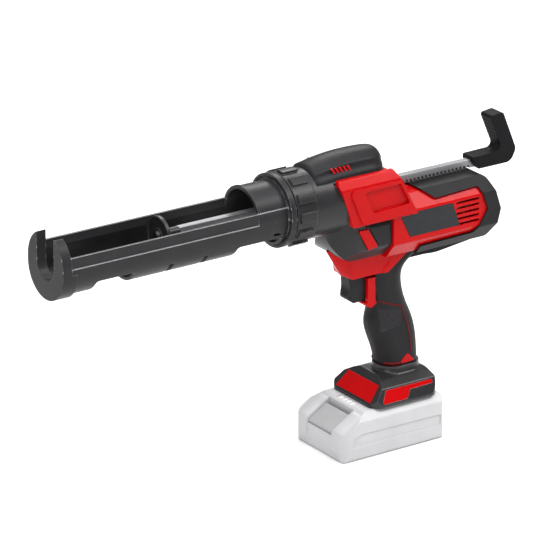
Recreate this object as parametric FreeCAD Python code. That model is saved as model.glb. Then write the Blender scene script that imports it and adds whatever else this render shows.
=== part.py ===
import FreeCAD, Part
import math
import os

Vector = FreeCAD.Vector

# A cordless caulking tool, in millimetres. -X points to the nozzle, +X to the rear,
# -Y to the left side, +Z up. The origin lies on the battery pack's resting face, below the grip.

# Clearances
RUN = 0.3            # between pieces that slide or turn past each other
SHAFT_FIT = 0.05     # radial clearance of a shaft in its bearing
BACKLASH = 0.4       # play of meshed teeth at the pitch line

# Barrel axis, shared by the holder, the ring and the gear case
AXIS_Z = 247.0

# Cartridge holder
HOLDER_BORE_R = 25.7     # takes a cartridge of about 50 mm diameter
HOLDER_WALL = 2.8        # half-round wall below the ledge
HOLDER_DROP = 2.4        # the half-round's centre below the barrel axis
RIM_WALL = 1.8           # thinner upright wall above the ledge
RIM_HEIGHT = 11.0        # top of the upright wall above the axis
TROUGH_LENGTH = 226.0    # from the cap to the flange
SLEEVE_LENGTH = 31.5     # closed round stretch before the flange
SLEEVE_BEAD = 0.8
SLEEVE_SLOT_GAP = 6.5       # small slot low on each side of the sleeve, and how far it is from the flange
SLEEVE_SLOT_LENGTH = 8.0
SLEEVE_SLOT_HEIGHT = 3.0
SLEEVE_SLOT_DROP = 11.0
CAP_THICK = 9.5
CAP_LIP = 0.6            # the cap stands proud of the trough
CAP_DROP = 4.4           # centre of the cap's round lower edge below the barrel axis
CAP_SKIRT = 5.5
SLOT_HALF = 14.0         # half the width of the nozzle slot
SLOT_DEPTH = 15.5        # its round bottom below the axis
FLANGE_R = 34.3
FLANGE_THICK = 5.4
FLANGE_RIM = 2.6
FLANGE_RECESS = 1.6
WINDOW_DROP = 17.0       # height of the underside windows' edges below the axis
WINDOWS = ((26.0, 68.5), (102.0, 108.5), (138.0, 144.5), (173.5, 223.5))   # from the cap, along the trough
TAIL_R = 27.0            # tail of the holder inside the ring
TAIL_WALL = 3.0
TAIL_RIM_R = 29.6
TAIL_RIM_THICK = 5.0

# Coupling ring
RING_R = 33.4
RING_LIP = 5.7           # front lip that draws the tail rim back
RING_GAP = 1.8           # open gap between flange and ring
RING_PADS = 12
PAD_HEIGHT = 2.2
PAD_INSET = 2.6

# Gear case
CASE_FRONT_X = -88.0     # shoulder behind the ring
SPIGOT_R = 29.9
SPIGOT_LENGTH = 10.5
BARREL_R = 33.0
BARREL_LENGTH = 46.0
CASE_NOSE_X = -61.0      # front of the lower casing
CASE_REAR_X = -4.0
CASE_HALF = 28.0
CASE_BOTTOM_Z = 187.0
CASE_TOP_Z = 267.0
CASE_KEEL_HALF = 16.5    # half width of the casing's bottom face
CASE_KEEL_RISE = 12.0
CASE_CORNER_R = 24.0
CASE_HEEL_R = 25.0
CASE_WALL = 7.0          # side wall, which holds the bearings
CASE_FLOOR = 14.0
CASE_END_WALL = 5.0

# Top cover
COVER_FRONT_X = -83.0
COVER_REAR_X = 0.0
COVER_HALF = 23.5
COVER_BASE_Z = 269.0
COVER_FRONT_Z = 281.8
COVER_PEAK_Z = 289.0
STRIPES = 5
STRIPE_PITCH = 4.3
STRIPE_WIDTH = 2.2
STRIPE_START_X = -65.0
STRIPE_DEPTH = 1.0

# Push rod with rack teeth, drive pinion and gear pair
ROD_HALF = 3.4
ROD_TOP_Z = 252.2
ROD_FRONT_X = -216.0
ROD_REAR_X = 112.0
RACK_MODULE = 1.375
RACK_PITCH_Z = 245.775
RACK_START_X = -168.0
RACK_END_X = 103.0
PINION_TEETH = 16
PINION_WIDTH = 9.0
PINION_X = -30.0
GEAR_MODULE = 1.25
GEAR_TEETH = 22
DRIVER_TEETH = 12
GEAR_WIDTH = 6.0
GEAR_Y = 8.2             # inner face of the gear pair, beside the rod
SHAFT_R = 4.0
DRIVER_SHAFT_R = 3.0
BEARING_R = 9.0
BEARING_WIDTH = 5.0
PRESSURE_ANGLE = 20.0

# Plunger
PLUNGER_X = -237.0       # front face of the plunger disc
PLUNGER_R = 18.0
PLUNGER_THICK = 3.2
PLUNGER_RIM = 1.8        # raised rim round the dished front
HUB_R = 4.8
SCREW_HEAD_R = 5.0
SCREW_HEAD_THICK = 2.5
SCREW_R = 2.0

# Pull handle
HANDLE_FRONT_X = 102.0
HANDLE_HALF = 8.0
HANDLE_LOW_Z = 243.2
HANDLE_ARM_Z = 256.0
HANDLE_REAR_X = 151.5
HANDLE_TOP_Z = 293.2
HANDLE_PIN_R = 1.5

# Red housing halves
WALL = 2.6
CHEEK_FRONT_X = -66.0
CHEEK_REAR_X = 22.0      # at the foot of the slanted rear edge
CHEEK_HALF = 33.4        # just proud of the round barrel
CHEEK_TOP_Z = 271.0
CHEEK_LOW_Z = 225.5
CHEEK_SLANT = 16.5
FRAME_HEIGHT = 1.6
POCKET_DEPTH = 3.2
MOTOR_REAR_X = 101.0
MOTOR_HALF = 32.0
MOTOR_TOP_Z = 241.0
MOTOR_LOW_Z = 184.0
CHIN_HALF = 16.0
CHIN_LOW_Z = 168.0
CHIN_KEEL_X = -52.5
CHIN_RISE = 8.0          # how far the chin's front reaches up round the casing's heel
VENTS = 5
VENT_START_X = 66.0
VENT_LENGTH = 26.0
VENT_PITCH = 5.2
VENT_HEIGHT = 2.4
VENT_LOW_Z = 203.5

# Rear bumper
BUMPER_SKIN = 2.2
BUMPER_REAR_X = 115.5
KEEL_HALF = 18.0         # half width of the bumper's keel behind the grip
KEEL_DROP = 6.5

# Name plate
PLATE_THICK = 0.8
PLATE_DEPTH = 0.6

# Grip: height, front, rear and half width of each section
GRIP_SECTIONS = (
    (66.0, 3.5, 43.0, 17.2),
    (80.0, 0.0, 41.3, 17.0),
    (95.0, -5.0, 40.3, 16.8),
    (110.0, -10.0, 37.6, 16.6),
    (124.0, -9.0, 32.4, 16.4),
    (138.0, -9.5, 26.8, 16.2),
    (152.0, -14.5, 23.7, 16.0),
    (163.0, -15.0, 24.0, 16.0),
    (171.0, -15.0, 28.5, 16.0),
    (177.0, -10.5, 36.0, 16.0),
    (182.0, -10.5, 43.0, 16.0),
    (187.0, -10.5, 50.0, 16.0),
)
GRIP_ROUND = 15.5
GRIP_SKIN = 2.4
GRIP_LOW_Z = 74.0
GRIP_TOP_Z = 167.5
SHOULDER_X = 1.5         # where the cover's top edge starts to rise to the motor barrel
SHOULDER_END_X = 29.0
STRIP_FRONT_X = -18.0    # red strip behind the trigger
STRIP_HALF = 12.0
STRIP_EDGE_X = -9.5      # where the soft covers meet it
STRIP_REAR_X = -0.4
HOOK_LENGTH = 3.0        # how far the strip's foot reaches under the trigger
STRIP_LOW_Z = 136.5

# Trigger, switch and lock-off button
TRIGGER_HALF = 7.5
TRIGGER_TRAVEL = 6.0
TRIGGER_TOP_Z = 166.5
TRIGGER_LOW_Z = 141.2
TRIGGER_TOE_X = -37.0
STEM_HALF = 4.0
SWITCH_X = -1.5
SWITCH_LENGTH = 17.5
SWITCH_HALF = 6.5
BUTTON_X = -41.0
BUTTON_TOP_Z = 220.0
BUTTON_LOW_Z = 199.5
BUTTON_STROKE = 2.5
BUTTON_PROUD = 1.4
BUTTON_BAR_HALF = 21.5   # half the length of the bar between the caps

# Motor and gearhead
MOTOR_R = 18.4
MOTOR_FRONT_X = 30.0
MOTOR_LENGTH = 54.0
MOTOR_SHAFT_R = 2.5
FAN_R = 17.0
FAN_WIDTH = 9.0
FAN_BLADES = 8
GEARHEAD_R = 19.5
NOSE_HALF = 7.0
NOSE_LOW_Z = 204.0
NOSE_TOP_Z = 221.0
NOSE_X = -40.0

# Battery foot
FOOT_LOW_Z = 44.3
FOOT_TOP_Z = 67.5
FOOT_FRONT_X = -27.0
FOOT_REAR_X = 46.0
FOOT_HALF = 36.5
FOOT_SLOPE = 19.5        # run of the sloped front
FOOT_LEAN = 6.5          # how far the sides lean in
FOOT_WALL = 3.0
FLARE_HEIGHT = 8.2       # the flare under the grip: its height and how far it spreads
FLARE_REACH = 5.0
FLARE_STEPS = 6
INLAY_DEPTH = 1.2
TONGUE_HALF = 20.0
TONGUE_NECK_HALF = 15.0
TONGUE_LIP = 4.0
TONGUE_DROP = 10.0
TONGUE_FRONT_X = -16.0
TONGUE_REAR_X = 40.0

# Battery pack
PACK_FRONT_X = -63.0
PACK_REAR_X = 51.3
PACK_HALF = 38.5
PACK_TOP_Z = 44.0
PACK_SPLIT_Z = 13.0
PACK_WALL = 2.6
PACK_NOSE_Z = 27.0
PACK_FRONT_R = 7.0
PACK_REAR_R = 5.0
SHOULDER_DROP = 7.0      # bevel along the top edges
PANEL_DEPTH = 0.8
LAMPS = 4
LAMP_PITCH = 6.0
LAMP_RECESS = 0.7
LATCH_HALF = 19.0
LATCH_LOW_Z = 22.5
LATCH_STROKE = 3.0
CELL_R = 9.15
CELL_LENGTH = 65.0
CELL_PITCH = 18.7
CELLS = 5
BOARD_FRONT_X = -30.0
BOARD_HALF = 30.0

# Housing screws: places along X and Z, and the half width of the boss that each one holds
SCREW_PLACES = ((-27.0, 177.0), (12.0, 178.5), (90.0, 189.8), (90.0, 236.0), (22.0, 84.0))
BOSS_R = 4.2
HOUSING_SCREW_R = 1.7
HOUSING_SCREW_HEAD_R = 3.2
HOUSING_SCREW_LENGTH = 22.0

# Derived places along the barrel axis
SPIGOT_FRONT_X = CASE_FRONT_X - SPIGOT_LENGTH
TAIL_REAR_X = SPIGOT_FRONT_X - RUN
TAIL_RIM_X = TAIL_REAR_X - TAIL_RIM_THICK
RING_FRONT_X = TAIL_RIM_X - RUN - RING_LIP
RING_REAR_X = CASE_FRONT_X - RUN
FLANGE_REAR_X = RING_FRONT_X - RING_GAP
FLANGE_FRONT_X = FLANGE_REAR_X - FLANGE_THICK
SLEEVE_FRONT_X = FLANGE_FRONT_X - SLEEVE_LENGTH
CAP_REAR_X = FLANGE_FRONT_X - TROUGH_LENGTH
CAP_FRONT_X = CAP_REAR_X - CAP_THICK
HOLDER_R = HOLDER_BORE_R + HOLDER_WALL

# Derived places of the gear train
PINION_R = RACK_MODULE * PINION_TEETH / 2
PINION_Z = RACK_PITCH_Z - PINION_R
GEAR_DISTANCE = GEAR_MODULE * (GEAR_TEETH + DRIVER_TEETH) / 2
MOTOR_Z = PINION_Z - GEAR_DISTANCE
BEARING_Y = CASE_HALF - CASE_WALL


def unit(vector):
    return vector * (1.0 / vector.Length)


def outline(corners, axis, level):
    """Closed wire square to an axis. A corner is (u, v), or (u, v, radius) where it is rounded."""
    places = {
        "x": lambda u, v: Vector(level, u, v),
        "y": lambda u, v: Vector(u, level, v),
        "z": lambda u, v: Vector(u, v, level),
    }
    points = [places[axis](c[0], c[1]) for c in corners]
    count = len(points)
    spans = []
    for i, corner in enumerate(corners):
        point = points[i]
        if len(corner) < 3 or corner[2] <= 0:
            spans.append((point, None, point))
            continue
        before = unit(points[i - 1] - point)
        after = unit(points[(i + 1) % count] - point)
        half = before.getAngle(after) / 2
        reach = corner[2] / math.tan(half)
        middle = unit(before + after)
        crown = point + middle * (corner[2] / math.sin(half) - corner[2])
        spans.append((point + before * reach, crown, point + after * reach))
    edges = []
    for i, (start, crown, end) in enumerate(spans):
        if crown is not None:
            edges.append(Part.Arc(start, crown, end).toShape())
        following = spans[(i + 1) % count][0]
        if end.distanceToPoint(following) > 1e-6:
            edges.append(Part.LineSegment(end, following).toShape())
    return Part.Wire(edges)


def prism(corners, axis, low, high):
    """Solid of an outline drawn out along an axis."""
    way = {"x": Vector(1, 0, 0), "y": Vector(0, 1, 0), "z": Vector(0, 0, 1)}[axis]
    return Part.Face(outline(corners, axis, low)).extrude(way * (high - low))


def box(x0, x1, y0, y1, z0, z1):
    return Part.makeBox(x1 - x0, y1 - y0, z1 - z0, Vector(x0, y0, z0))


def cylinder_x(radius, x0, x1, z=AXIS_Z, y=0.0):
    return Part.makeCylinder(radius, x1 - x0, Vector(x0, y, z), Vector(1, 0, 0))


def cylinder_y(radius, y0, y1, x, z):
    return Part.makeCylinder(radius, y1 - y0, Vector(x, y0, z), Vector(0, 1, 0))


def both_sides(corners):
    """Outline across Y from the corners of its right half, listed upwards."""
    left = [(-c[0],) + tuple(c[1:]) for c in corners]
    return list(corners) + left[::-1]


def mirrored(shape):
    return shape.mirror(Vector(0, 0, 0), Vector(0, 1, 0))


def joined(shapes):
    solid = shapes[0].fuse(shapes[1:])
    return solid.removeSplitter()


def keep_half(shape, side):
    """Half of a shape: side is -1 for the left one and 1 for the right one."""
    reach = 400.0
    low, high = (-reach, 0.0) if side < 0 else (0.0, reach)
    return shape.common(box(-reach, reach, low, high, -reach, reach))


def cartridge_holder():
    rim_half = HOLDER_BORE_R + RIM_WALL
    ledge_z = AXIS_Z + 0.5
    low_z = AXIS_Z - HOLDER_DROP
    below = box(CAP_REAR_X, FLANGE_FRONT_X, -FLANGE_R, FLANGE_R, AXIS_Z - 2 * HOLDER_R, low_z)
    trough = cylinder_x(HOLDER_R, CAP_REAR_X, FLANGE_FRONT_X, low_z).common(below)
    walls = box(CAP_REAR_X, FLANGE_FRONT_X, -HOLDER_R, HOLDER_R, low_z, ledge_z)
    rims = box(CAP_REAR_X, FLANGE_FRONT_X, -rim_half, rim_half, AXIS_Z, AXIS_Z + RIM_HEIGHT)
    sleeve = cylinder_x(HOLDER_R, SLEEVE_FRONT_X, FLANGE_FRONT_X)
    bead = cylinder_x(HOLDER_R + SLEEVE_BEAD, SLEEVE_FRONT_X, SLEEVE_FRONT_X + 2.5)
    bead = bead.cut(box(CAP_FRONT_X, 0, -50, 50, 0, AXIS_Z + RIM_HEIGHT))
    cap_r = HOLDER_R + CAP_LIP
    cap = joined(
        [
            cylinder_x(cap_r, CAP_FRONT_X, CAP_REAR_X),
            cylinder_x(cap_r, CAP_FRONT_X, CAP_REAR_X, AXIS_Z - CAP_DROP),
            box(CAP_FRONT_X, CAP_REAR_X, -cap_r, cap_r, AXIS_Z - CAP_DROP, AXIS_Z),
        ]
    )
    skirt = cylinder_x(cap_r, CAP_REAR_X, CAP_REAR_X + CAP_SKIRT, AXIS_Z - CAP_DROP)
    skirt = skirt.common(box(CAP_REAR_X, FLANGE_FRONT_X, -cap_r, cap_r, 0.0, AXIS_Z - CAP_DROP))
    flange = cylinder_x(FLANGE_R, FLANGE_FRONT_X, FLANGE_REAR_X)
    recess = cylinder_x(FLANGE_R - FLANGE_RIM, FLANGE_FRONT_X, FLANGE_FRONT_X + FLANGE_RECESS)
    flange = flange.cut(recess.cut(cylinder_x(HOLDER_R + 1.5, FLANGE_FRONT_X, FLANGE_REAR_X)))
    tail = cylinder_x(TAIL_R, FLANGE_REAR_X, TAIL_REAR_X)
    tail_rim = cylinder_x(TAIL_RIM_R, TAIL_RIM_X, TAIL_REAR_X)
    holder = joined([trough, walls, rims, sleeve, bead, cap, skirt, flange, tail, tail_rim])

    bay = cylinder_x(HOLDER_BORE_R, CAP_REAR_X, FLANGE_FRONT_X, low_z)
    upper_bay = cylinder_x(HOLDER_BORE_R, CAP_REAR_X, FLANGE_FRONT_X)
    mouth = box(CAP_REAR_X, SLEEVE_FRONT_X, -HOLDER_BORE_R, HOLDER_BORE_R, low_z, AXIS_Z + 2 * HOLDER_R)
    waist = box(CAP_REAR_X, FLANGE_FRONT_X, -HOLDER_BORE_R, HOLDER_BORE_R, low_z, AXIS_Z)
    bay = joined([bay, upper_bay, waist])
    throat = cylinder_x(TAIL_R - TAIL_WALL, FLANGE_FRONT_X, TAIL_REAR_X)
    slot_z = AXIS_Z - SLOT_DEPTH + SLOT_HALF
    slot = cylinder_x(SLOT_HALF, CAP_FRONT_X, CAP_REAR_X, slot_z)
    slot_mouth = box(CAP_FRONT_X, CAP_REAR_X, -SLOT_HALF, SLOT_HALF, slot_z, AXIS_Z + 2 * HOLDER_R)
    holder = holder.cut([bay, mouth, throat, slot, slot_mouth])
    for start, end in WINDOWS:
        corner = min(3.0, (end - start) / 4)
        lean = corner / 2
        window = prism(
            [
                (CAP_REAR_X + start - lean, AXIS_Z - 2 * HOLDER_R),
                (CAP_REAR_X + start + lean, AXIS_Z - WINDOW_DROP, corner),
                (CAP_REAR_X + end - lean, AXIS_Z - WINDOW_DROP, corner),
                (CAP_REAR_X + end + lean, AXIS_Z - 2 * HOLDER_R),
            ],
            "y",
            -HOLDER_R - 1.0,
            HOLDER_R + 1.0,
        )
        holder = holder.cut(window)
    slot_end = FLANGE_FRONT_X - SLEEVE_SLOT_GAP
    slot_top = AXIS_Z - SLEEVE_SLOT_DROP
    for y in (-FLANGE_R, HOLDER_BORE_R - 6.0):
        holder = holder.cut(
            box(slot_end - SLEEVE_SLOT_LENGTH, slot_end, y, y + FLANGE_R - HOLDER_BORE_R + 6.0,
                slot_top - SLEEVE_SLOT_HEIGHT, slot_top)
        )
    return holder


def coupling_ring():
    ring = cylinder_x(RING_R, RING_FRONT_X, RING_REAR_X)
    pads = cylinder_x(RING_R + PAD_HEIGHT, RING_FRONT_X + PAD_INSET, RING_REAR_X - PAD_INSET)
    step = 2 * math.pi / RING_PADS
    reach = 2 * RING_R
    sectors = []
    for i in range(RING_PADS):
        corners = [(0.0, AXIS_Z)]
        for turn in (-step / 4, step / 4):
            angle = i * step + turn
            corners.append((reach * math.sin(angle), AXIS_Z + reach * math.cos(angle)))
        sectors.append(prism(corners, "x", RING_FRONT_X, RING_REAR_X))
    pads = pads.common(sectors[0].fuse(sectors[1:]))
    ring = ring.fuse(pads)
    lip_bore = cylinder_x(TAIL_R + RUN, RING_FRONT_X, RING_REAR_X)
    thread_bore = cylinder_x(TAIL_RIM_R + 2 * RUN, TAIL_RIM_X - RUN, RING_REAR_X)
    return ring.cut([lip_bore, thread_bore])


def cheek_envelope():
    """Both red cheeks with their slanted front edge, as they lie outside the gear case."""
    section = [
        (CASE_HALF, CHEEK_LOW_Z),
        (CHEEK_HALF, CHEEK_LOW_Z, 0.8),
        (CHEEK_HALF, CHEEK_TOP_Z - 8.0, 3.0),
        (CHEEK_HALF - 5.5, CHEEK_TOP_Z, 2.0),
        (COVER_HALF, CHEEK_TOP_Z),
        (COVER_HALF, CASE_TOP_Z),
        (CASE_HALF, CASE_TOP_Z - 3.5),
    ]
    cheek = prism(section, "x", CHEEK_FRONT_X, CHEEK_REAR_X)
    side = prism(
        [
            (CHEEK_FRONT_X, CHEEK_TOP_Z + 1.0, 5.0),
            (CHEEK_FRONT_X + CHEEK_SLANT, CHEEK_LOW_Z, 2.0),
            (CHEEK_REAR_X, CHEEK_LOW_Z),
            (CHEEK_REAR_X - 6.0, CHEEK_LOW_Z + 11.0, 3.0),
            (CHEEK_REAR_X - 18.0, CHEEK_TOP_Z - 10.0, 4.0),
            (CHEEK_REAR_X - 25.0, CHEEK_TOP_Z + 1.0, 2.0),
        ],
        "y",
        COVER_HALF,
        CHEEK_HALF + FRAME_HEIGHT,
    )
    frame = prism(
        [
            (CHEEK_FRONT_X + 11.5, CHEEK_TOP_Z - 9.5, 4.0),
            (CHEEK_FRONT_X + 26.0, CHEEK_LOW_Z + 2.0, 2.0),
            (CHEEK_REAR_X - 2.0, CHEEK_LOW_Z + 2.0, 2.0),
            (CHEEK_REAR_X - 7.0, CHEEK_LOW_Z + 11.0, 4.0),
            (CHEEK_REAR_X - 19.0, CHEEK_TOP_Z - 9.5, 4.0),
        ],
        "y",
        CHEEK_HALF - 0.5,
        CHEEK_HALF + FRAME_HEIGHT,
    )
    pocket = prism(
        [
            (CHEEK_FRONT_X + 27.0, CHEEK_TOP_Z - 13.0, 2.0),
            (CHEEK_FRONT_X + 38.0, CHEEK_LOW_Z + 10.5, 2.0),
            (CHEEK_REAR_X - 10.0, CHEEK_LOW_Z + 12.0, 2.0),
            (CHEEK_REAR_X - 21.0, CHEEK_TOP_Z - 12.0, 2.0),
        ],
        "y",
        CHEEK_HALF + FRAME_HEIGHT - POCKET_DEPTH,
        CHEEK_HALF + FRAME_HEIGHT,
    )
    cheek = cheek.common(side).fuse(frame).cut(pocket)
    return cheek.fuse(mirrored(cheek))


def motor_section(grow):
    """Eight-sided section of the motor barrel, grown outwards or inwards."""
    return both_sides(
        [
            (20.0 + grow * 0.4, MOTOR_LOW_Z - grow, 3.0),
            (MOTOR_HALF + grow, 199.0 - grow * 0.4, 3.0),
            (MOTOR_HALF + grow, 229.0 + grow * 0.4, 3.0),
            (20.0 + grow * 0.4, MOTOR_TOP_Z + grow),
        ]
    )


def grip_loft(inset):
    """Handle body through its sections, drawn in by an inset."""
    wires = []
    for z, front, rear, half in GRIP_SECTIONS:
        front, rear, half = front + inset, rear - inset, half - inset
        corners = [
            (front, -half, GRIP_ROUND - inset),
            (rear, -half, GRIP_ROUND - inset),
            (rear, half, GRIP_ROUND - inset),
            (front, half, GRIP_ROUND - inset),
        ]
        wires.append(outline(corners, "z", z))
    return Part.makeLoft(wires, True, False)


def above_shoulder():
    """Space above the edge where the grip covers end."""
    reach = 200.0
    return prism(
        [
            (-reach, GRIP_TOP_Z),
            (SHOULDER_X, GRIP_TOP_Z),
            (SHOULDER_END_X, CASE_BOTTOM_Z),
            (reach, CASE_BOTTOM_Z),
            (reach, reach + CASE_BOTTOM_Z),
            (-reach, reach + CASE_BOTTOM_Z),
        ],
        "y",
        -reach,
        reach,
    )


def chin():
    rear = SHOULDER_X
    top = [
        (CHIN_KEEL_X - 4.0, 0.0),
        (CHIN_KEEL_X + 13.0, CHIN_HALF),
        (rear, CHIN_HALF),
        (rear, -CHIN_HALF),
        (CHIN_KEEL_X + 13.0, -CHIN_HALF),
    ]
    low = [
        (CHIN_KEEL_X + 12.5, 0.0),
        (CHIN_KEEL_X + 15.0, CHIN_HALF - 1.0),
        (rear, CHIN_HALF - 1.0),
        (rear, -CHIN_HALF + 1.0),
        (CHIN_KEEL_X + 15.0, -CHIN_HALF + 1.0),
    ]
    wires = [outline(low, "z", CHIN_LOW_Z), outline(top, "z", CASE_BOTTOM_Z + CHIN_RISE)]
    return Part.makeLoft(wires, True, True)


def gear_case_envelope():
    side = prism(
        [
            (CASE_NOSE_X, CASE_TOP_Z),
            (CASE_NOSE_X, CASE_BOTTOM_Z, CASE_HEEL_R),
            (CASE_REAR_X, CASE_BOTTOM_Z),
            (CASE_REAR_X, CASE_TOP_Z),
        ],
        "y",
        -CASE_HALF,
        CASE_HALF,
    )
    plan = prism(
        [
            (CASE_NOSE_X, -CASE_HALF, CASE_CORNER_R),
            (CASE_REAR_X, -CASE_HALF),
            (CASE_REAR_X, CASE_HALF),
            (CASE_NOSE_X, CASE_HALF, CASE_CORNER_R),
        ],
        "z",
        CASE_BOTTOM_Z,
        CASE_TOP_Z,
    )
    section = prism(
        both_sides(
            [
                (CASE_KEEL_HALF, CASE_BOTTOM_Z),
                (CASE_HALF, CASE_BOTTOM_Z + CASE_KEEL_RISE, 4.0),
                (CASE_HALF, CASE_TOP_Z),
            ]
        ),
        "x",
        CASE_NOSE_X,
        CASE_REAR_X,
    )
    return side.common(plan).common(section)


def gear_case():
    barrel = cylinder_x(BARREL_R, CASE_FRONT_X, CASE_FRONT_X + BARREL_LENGTH)
    spigot = cylinder_x(SPIGOT_R, SPIGOT_FRONT_X, CASE_FRONT_X)
    case = joined([gear_case_envelope(), barrel, spigot])
    case = case.cut(cheek_envelope())
    reach = 2 * BARREL_R
    case = case.cut(box(COVER_FRONT_X, COVER_REAR_X, -COVER_HALF, COVER_HALF, COVER_BASE_Z, AXIS_Z + reach))
    case = case.cut(box(CHEEK_FRONT_X, CASE_REAR_X, -reach, reach, CASE_TOP_Z, COVER_BASE_Z))
    cavity_half = CASE_HALF - CASE_WALL
    corner = CASE_CORNER_R - CASE_END_WALL
    cavity = prism(
        [
            (CASE_NOSE_X + CASE_END_WALL, -cavity_half, corner),
            (CASE_REAR_X - CASE_END_WALL, -cavity_half),
            (CASE_REAR_X - CASE_END_WALL, cavity_half),
            (CASE_NOSE_X + CASE_END_WALL, cavity_half, corner),
        ],
        "z",
        CASE_BOTTOM_Z + CASE_FLOOR,
        CASE_TOP_Z - CASE_END_WALL,
    )
    throat = cylinder_x(TAIL_R - TAIL_WALL, SPIGOT_FRONT_X, CASE_FRONT_X)
    guide_seats = [guide_block(x) for x in guide_places()]
    rod_way = rod_passage(SPIGOT_FRONT_X, CASE_REAR_X)
    nose_way = cylinder_x(GEARHEAD_R, CASE_REAR_X - CASE_END_WALL, CASE_REAR_X, MOTOR_Z)
    seats = [cylinder_y(BEARING_R, y, y + BEARING_WIDTH, PINION_X, PINION_Z) for y in bearing_places()]
    button_way = lock_button(RUN, BUTTON_STROKE)
    return case.cut([cavity, throat, rod_way, nose_way, button_way] + guide_seats + seats)


def guide_places():
    """Front faces of the two rod guides, one in each end wall of the gear case."""
    return (CASE_FRONT_X, CASE_REAR_X - CASE_END_WALL - 6.0)


def guide_block(x):
    half = ROD_HALF + 5.0
    return box(x, x + 10.0, -half, half, RACK_PITCH_Z - 6.0, ROD_TOP_Z + 4.0)


def rod_passage(x0, x1):
    root = RACK_PITCH_Z - RACK_MODULE
    return box(x0, x1, -ROD_HALF - RUN, ROD_HALF + RUN, root - RUN, ROD_TOP_Z + RUN)


def rod_guides():
    guides = []
    for x in guide_places():
        guides.append(guide_block(x).cut(rod_passage(x, x + 10.0)))
    return guides


def bearing_places():
    return (-BEARING_Y - BEARING_WIDTH, BEARING_Y)


def bearings():
    rings = []
    for y in bearing_places():
        outer = cylinder_y(BEARING_R, y, y + BEARING_WIDTH, PINION_X, PINION_Z)
        rings.append(outer.cut(cylinder_y(SHAFT_R + SHAFT_FIT, y, y + BEARING_WIDTH, PINION_X, PINION_Z)))
    return rings


def top_cover():
    side = prism(
        [
            (COVER_FRONT_X, COVER_BASE_Z),
            (COVER_FRONT_X, COVER_FRONT_Z, 3.0),
            (COVER_FRONT_X + 21.0, COVER_PEAK_Z - 1.8, 60.0),
            (COVER_REAR_X - 36.0, COVER_PEAK_Z, 60.0),
            (COVER_REAR_X - 1.0, COVER_PEAK_Z - 1.6, 9.0),
            (COVER_REAR_X, COVER_BASE_Z + 8.0, 8.0),
            (COVER_REAR_X - 2.5, COVER_BASE_Z),
        ],
        "y",
        -COVER_HALF,
        COVER_HALF,
    )
    section = prism(
        both_sides(
            [
                (COVER_HALF, COVER_BASE_Z),
                (COVER_HALF - 1.0, COVER_BASE_Z + 4.0, 1.5),
                (COVER_HALF - 4.5, COVER_BASE_Z + 9.0, 1.0),
                (COVER_HALF - 6.2, COVER_BASE_Z + 13.2, 1.5),
                (COVER_HALF - 13.5, COVER_PEAK_Z + 0.2, 11.0),
            ]
        ),
        "x",
        COVER_FRONT_X,
        COVER_REAR_X,
    )
    plan = prism(
        [
            (COVER_FRONT_X, -COVER_HALF, 5.0),
            (COVER_REAR_X, -COVER_HALF, 20.0),
            (COVER_REAR_X, COVER_HALF, 20.0),
            (COVER_FRONT_X, COVER_HALF, 5.0),
        ],
        "z",
        COVER_BASE_Z,
        COVER_PEAK_Z + 1.0,
    )
    cover = side.common(section).common(plan)
    return cover.cut(stripes())


def stripes():
    """Slanted accent ribs on both flanks of the cover."""
    low = COVER_BASE_Z + 7.0
    high = COVER_BASE_Z + 12.0
    half = COVER_HALF - 4.0
    ribs = []
    for i in range(STRIPES):
        x = STRIPE_START_X + i * STRIPE_PITCH
        lean = 3.0
        rib = prism(
            [(x, high), (x + lean, low), (x + lean + STRIPE_WIDTH, low), (x + STRIPE_WIDTH, high)],
            "y",
            half - STRIPE_DEPTH - 2.0,
            half,
        )
        ribs.append(rib)
    group = ribs[0].fuse(ribs[1:])
    return group.fuse(mirrored(group))


def rack_teeth():
    """Gaps between the rack teeth. A gap stands over the pinion's axis."""
    pitch = math.pi * RACK_MODULE
    tip = RACK_PITCH_Z - RACK_MODULE
    root = RACK_PITCH_Z + 1.25 * RACK_MODULE
    slope = math.tan(math.radians(PRESSURE_ANGLE))
    half = pitch / 4 + BACKLASH / 4
    first = math.ceil((RACK_START_X - PINION_X) / pitch)
    last = math.floor((RACK_END_X - PINION_X) / pitch)
    gaps = []
    for i in range(first, last + 1):
        x = PINION_X + i * pitch
        wide = half + RACK_MODULE * slope
        narrow = half - 1.25 * RACK_MODULE * slope
        gaps.append(
            prism(
                [(x - wide, tip), (x + wide, tip), (x + narrow, root), (x - narrow, root)],
                "y",
                -ROD_HALF,
                ROD_HALF,
            )
        )
    return gaps


def push_rod():
    tip = RACK_PITCH_Z - RACK_MODULE
    bar = box(ROD_FRONT_X, ROD_REAR_X, -ROD_HALF, ROD_HALF, tip, ROD_TOP_Z)
    bar = bar.cut(rack_teeth())
    bar = bar.cut(cylinder_x(SCREW_R, ROD_FRONT_X, ROD_FRONT_X + 12.0, rod_middle()))
    return bar.cut(cylinder_y(HANDLE_PIN_R, -ROD_HALF, ROD_HALF, ROD_REAR_X - 5.0, rod_middle()))


def rod_middle():
    return (ROD_TOP_Z + RACK_PITCH_Z - RACK_MODULE) / 2


def plunger_disc():
    middle = rod_middle()
    rear = PLUNGER_X + PLUNGER_THICK
    disc = cylinder_x(PLUNGER_R, PLUNGER_X, rear, middle)
    dish = cylinder_x(PLUNGER_R - PLUNGER_RIM, PLUNGER_X, PLUNGER_X + PLUNGER_RIM / 2, middle)
    boss = cylinder_x(SCREW_HEAD_R + PLUNGER_RIM, PLUNGER_X, rear, middle)
    return disc.cut([dish.cut(boss), cylinder_x(SCREW_R, PLUNGER_X, rear, middle)])


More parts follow.
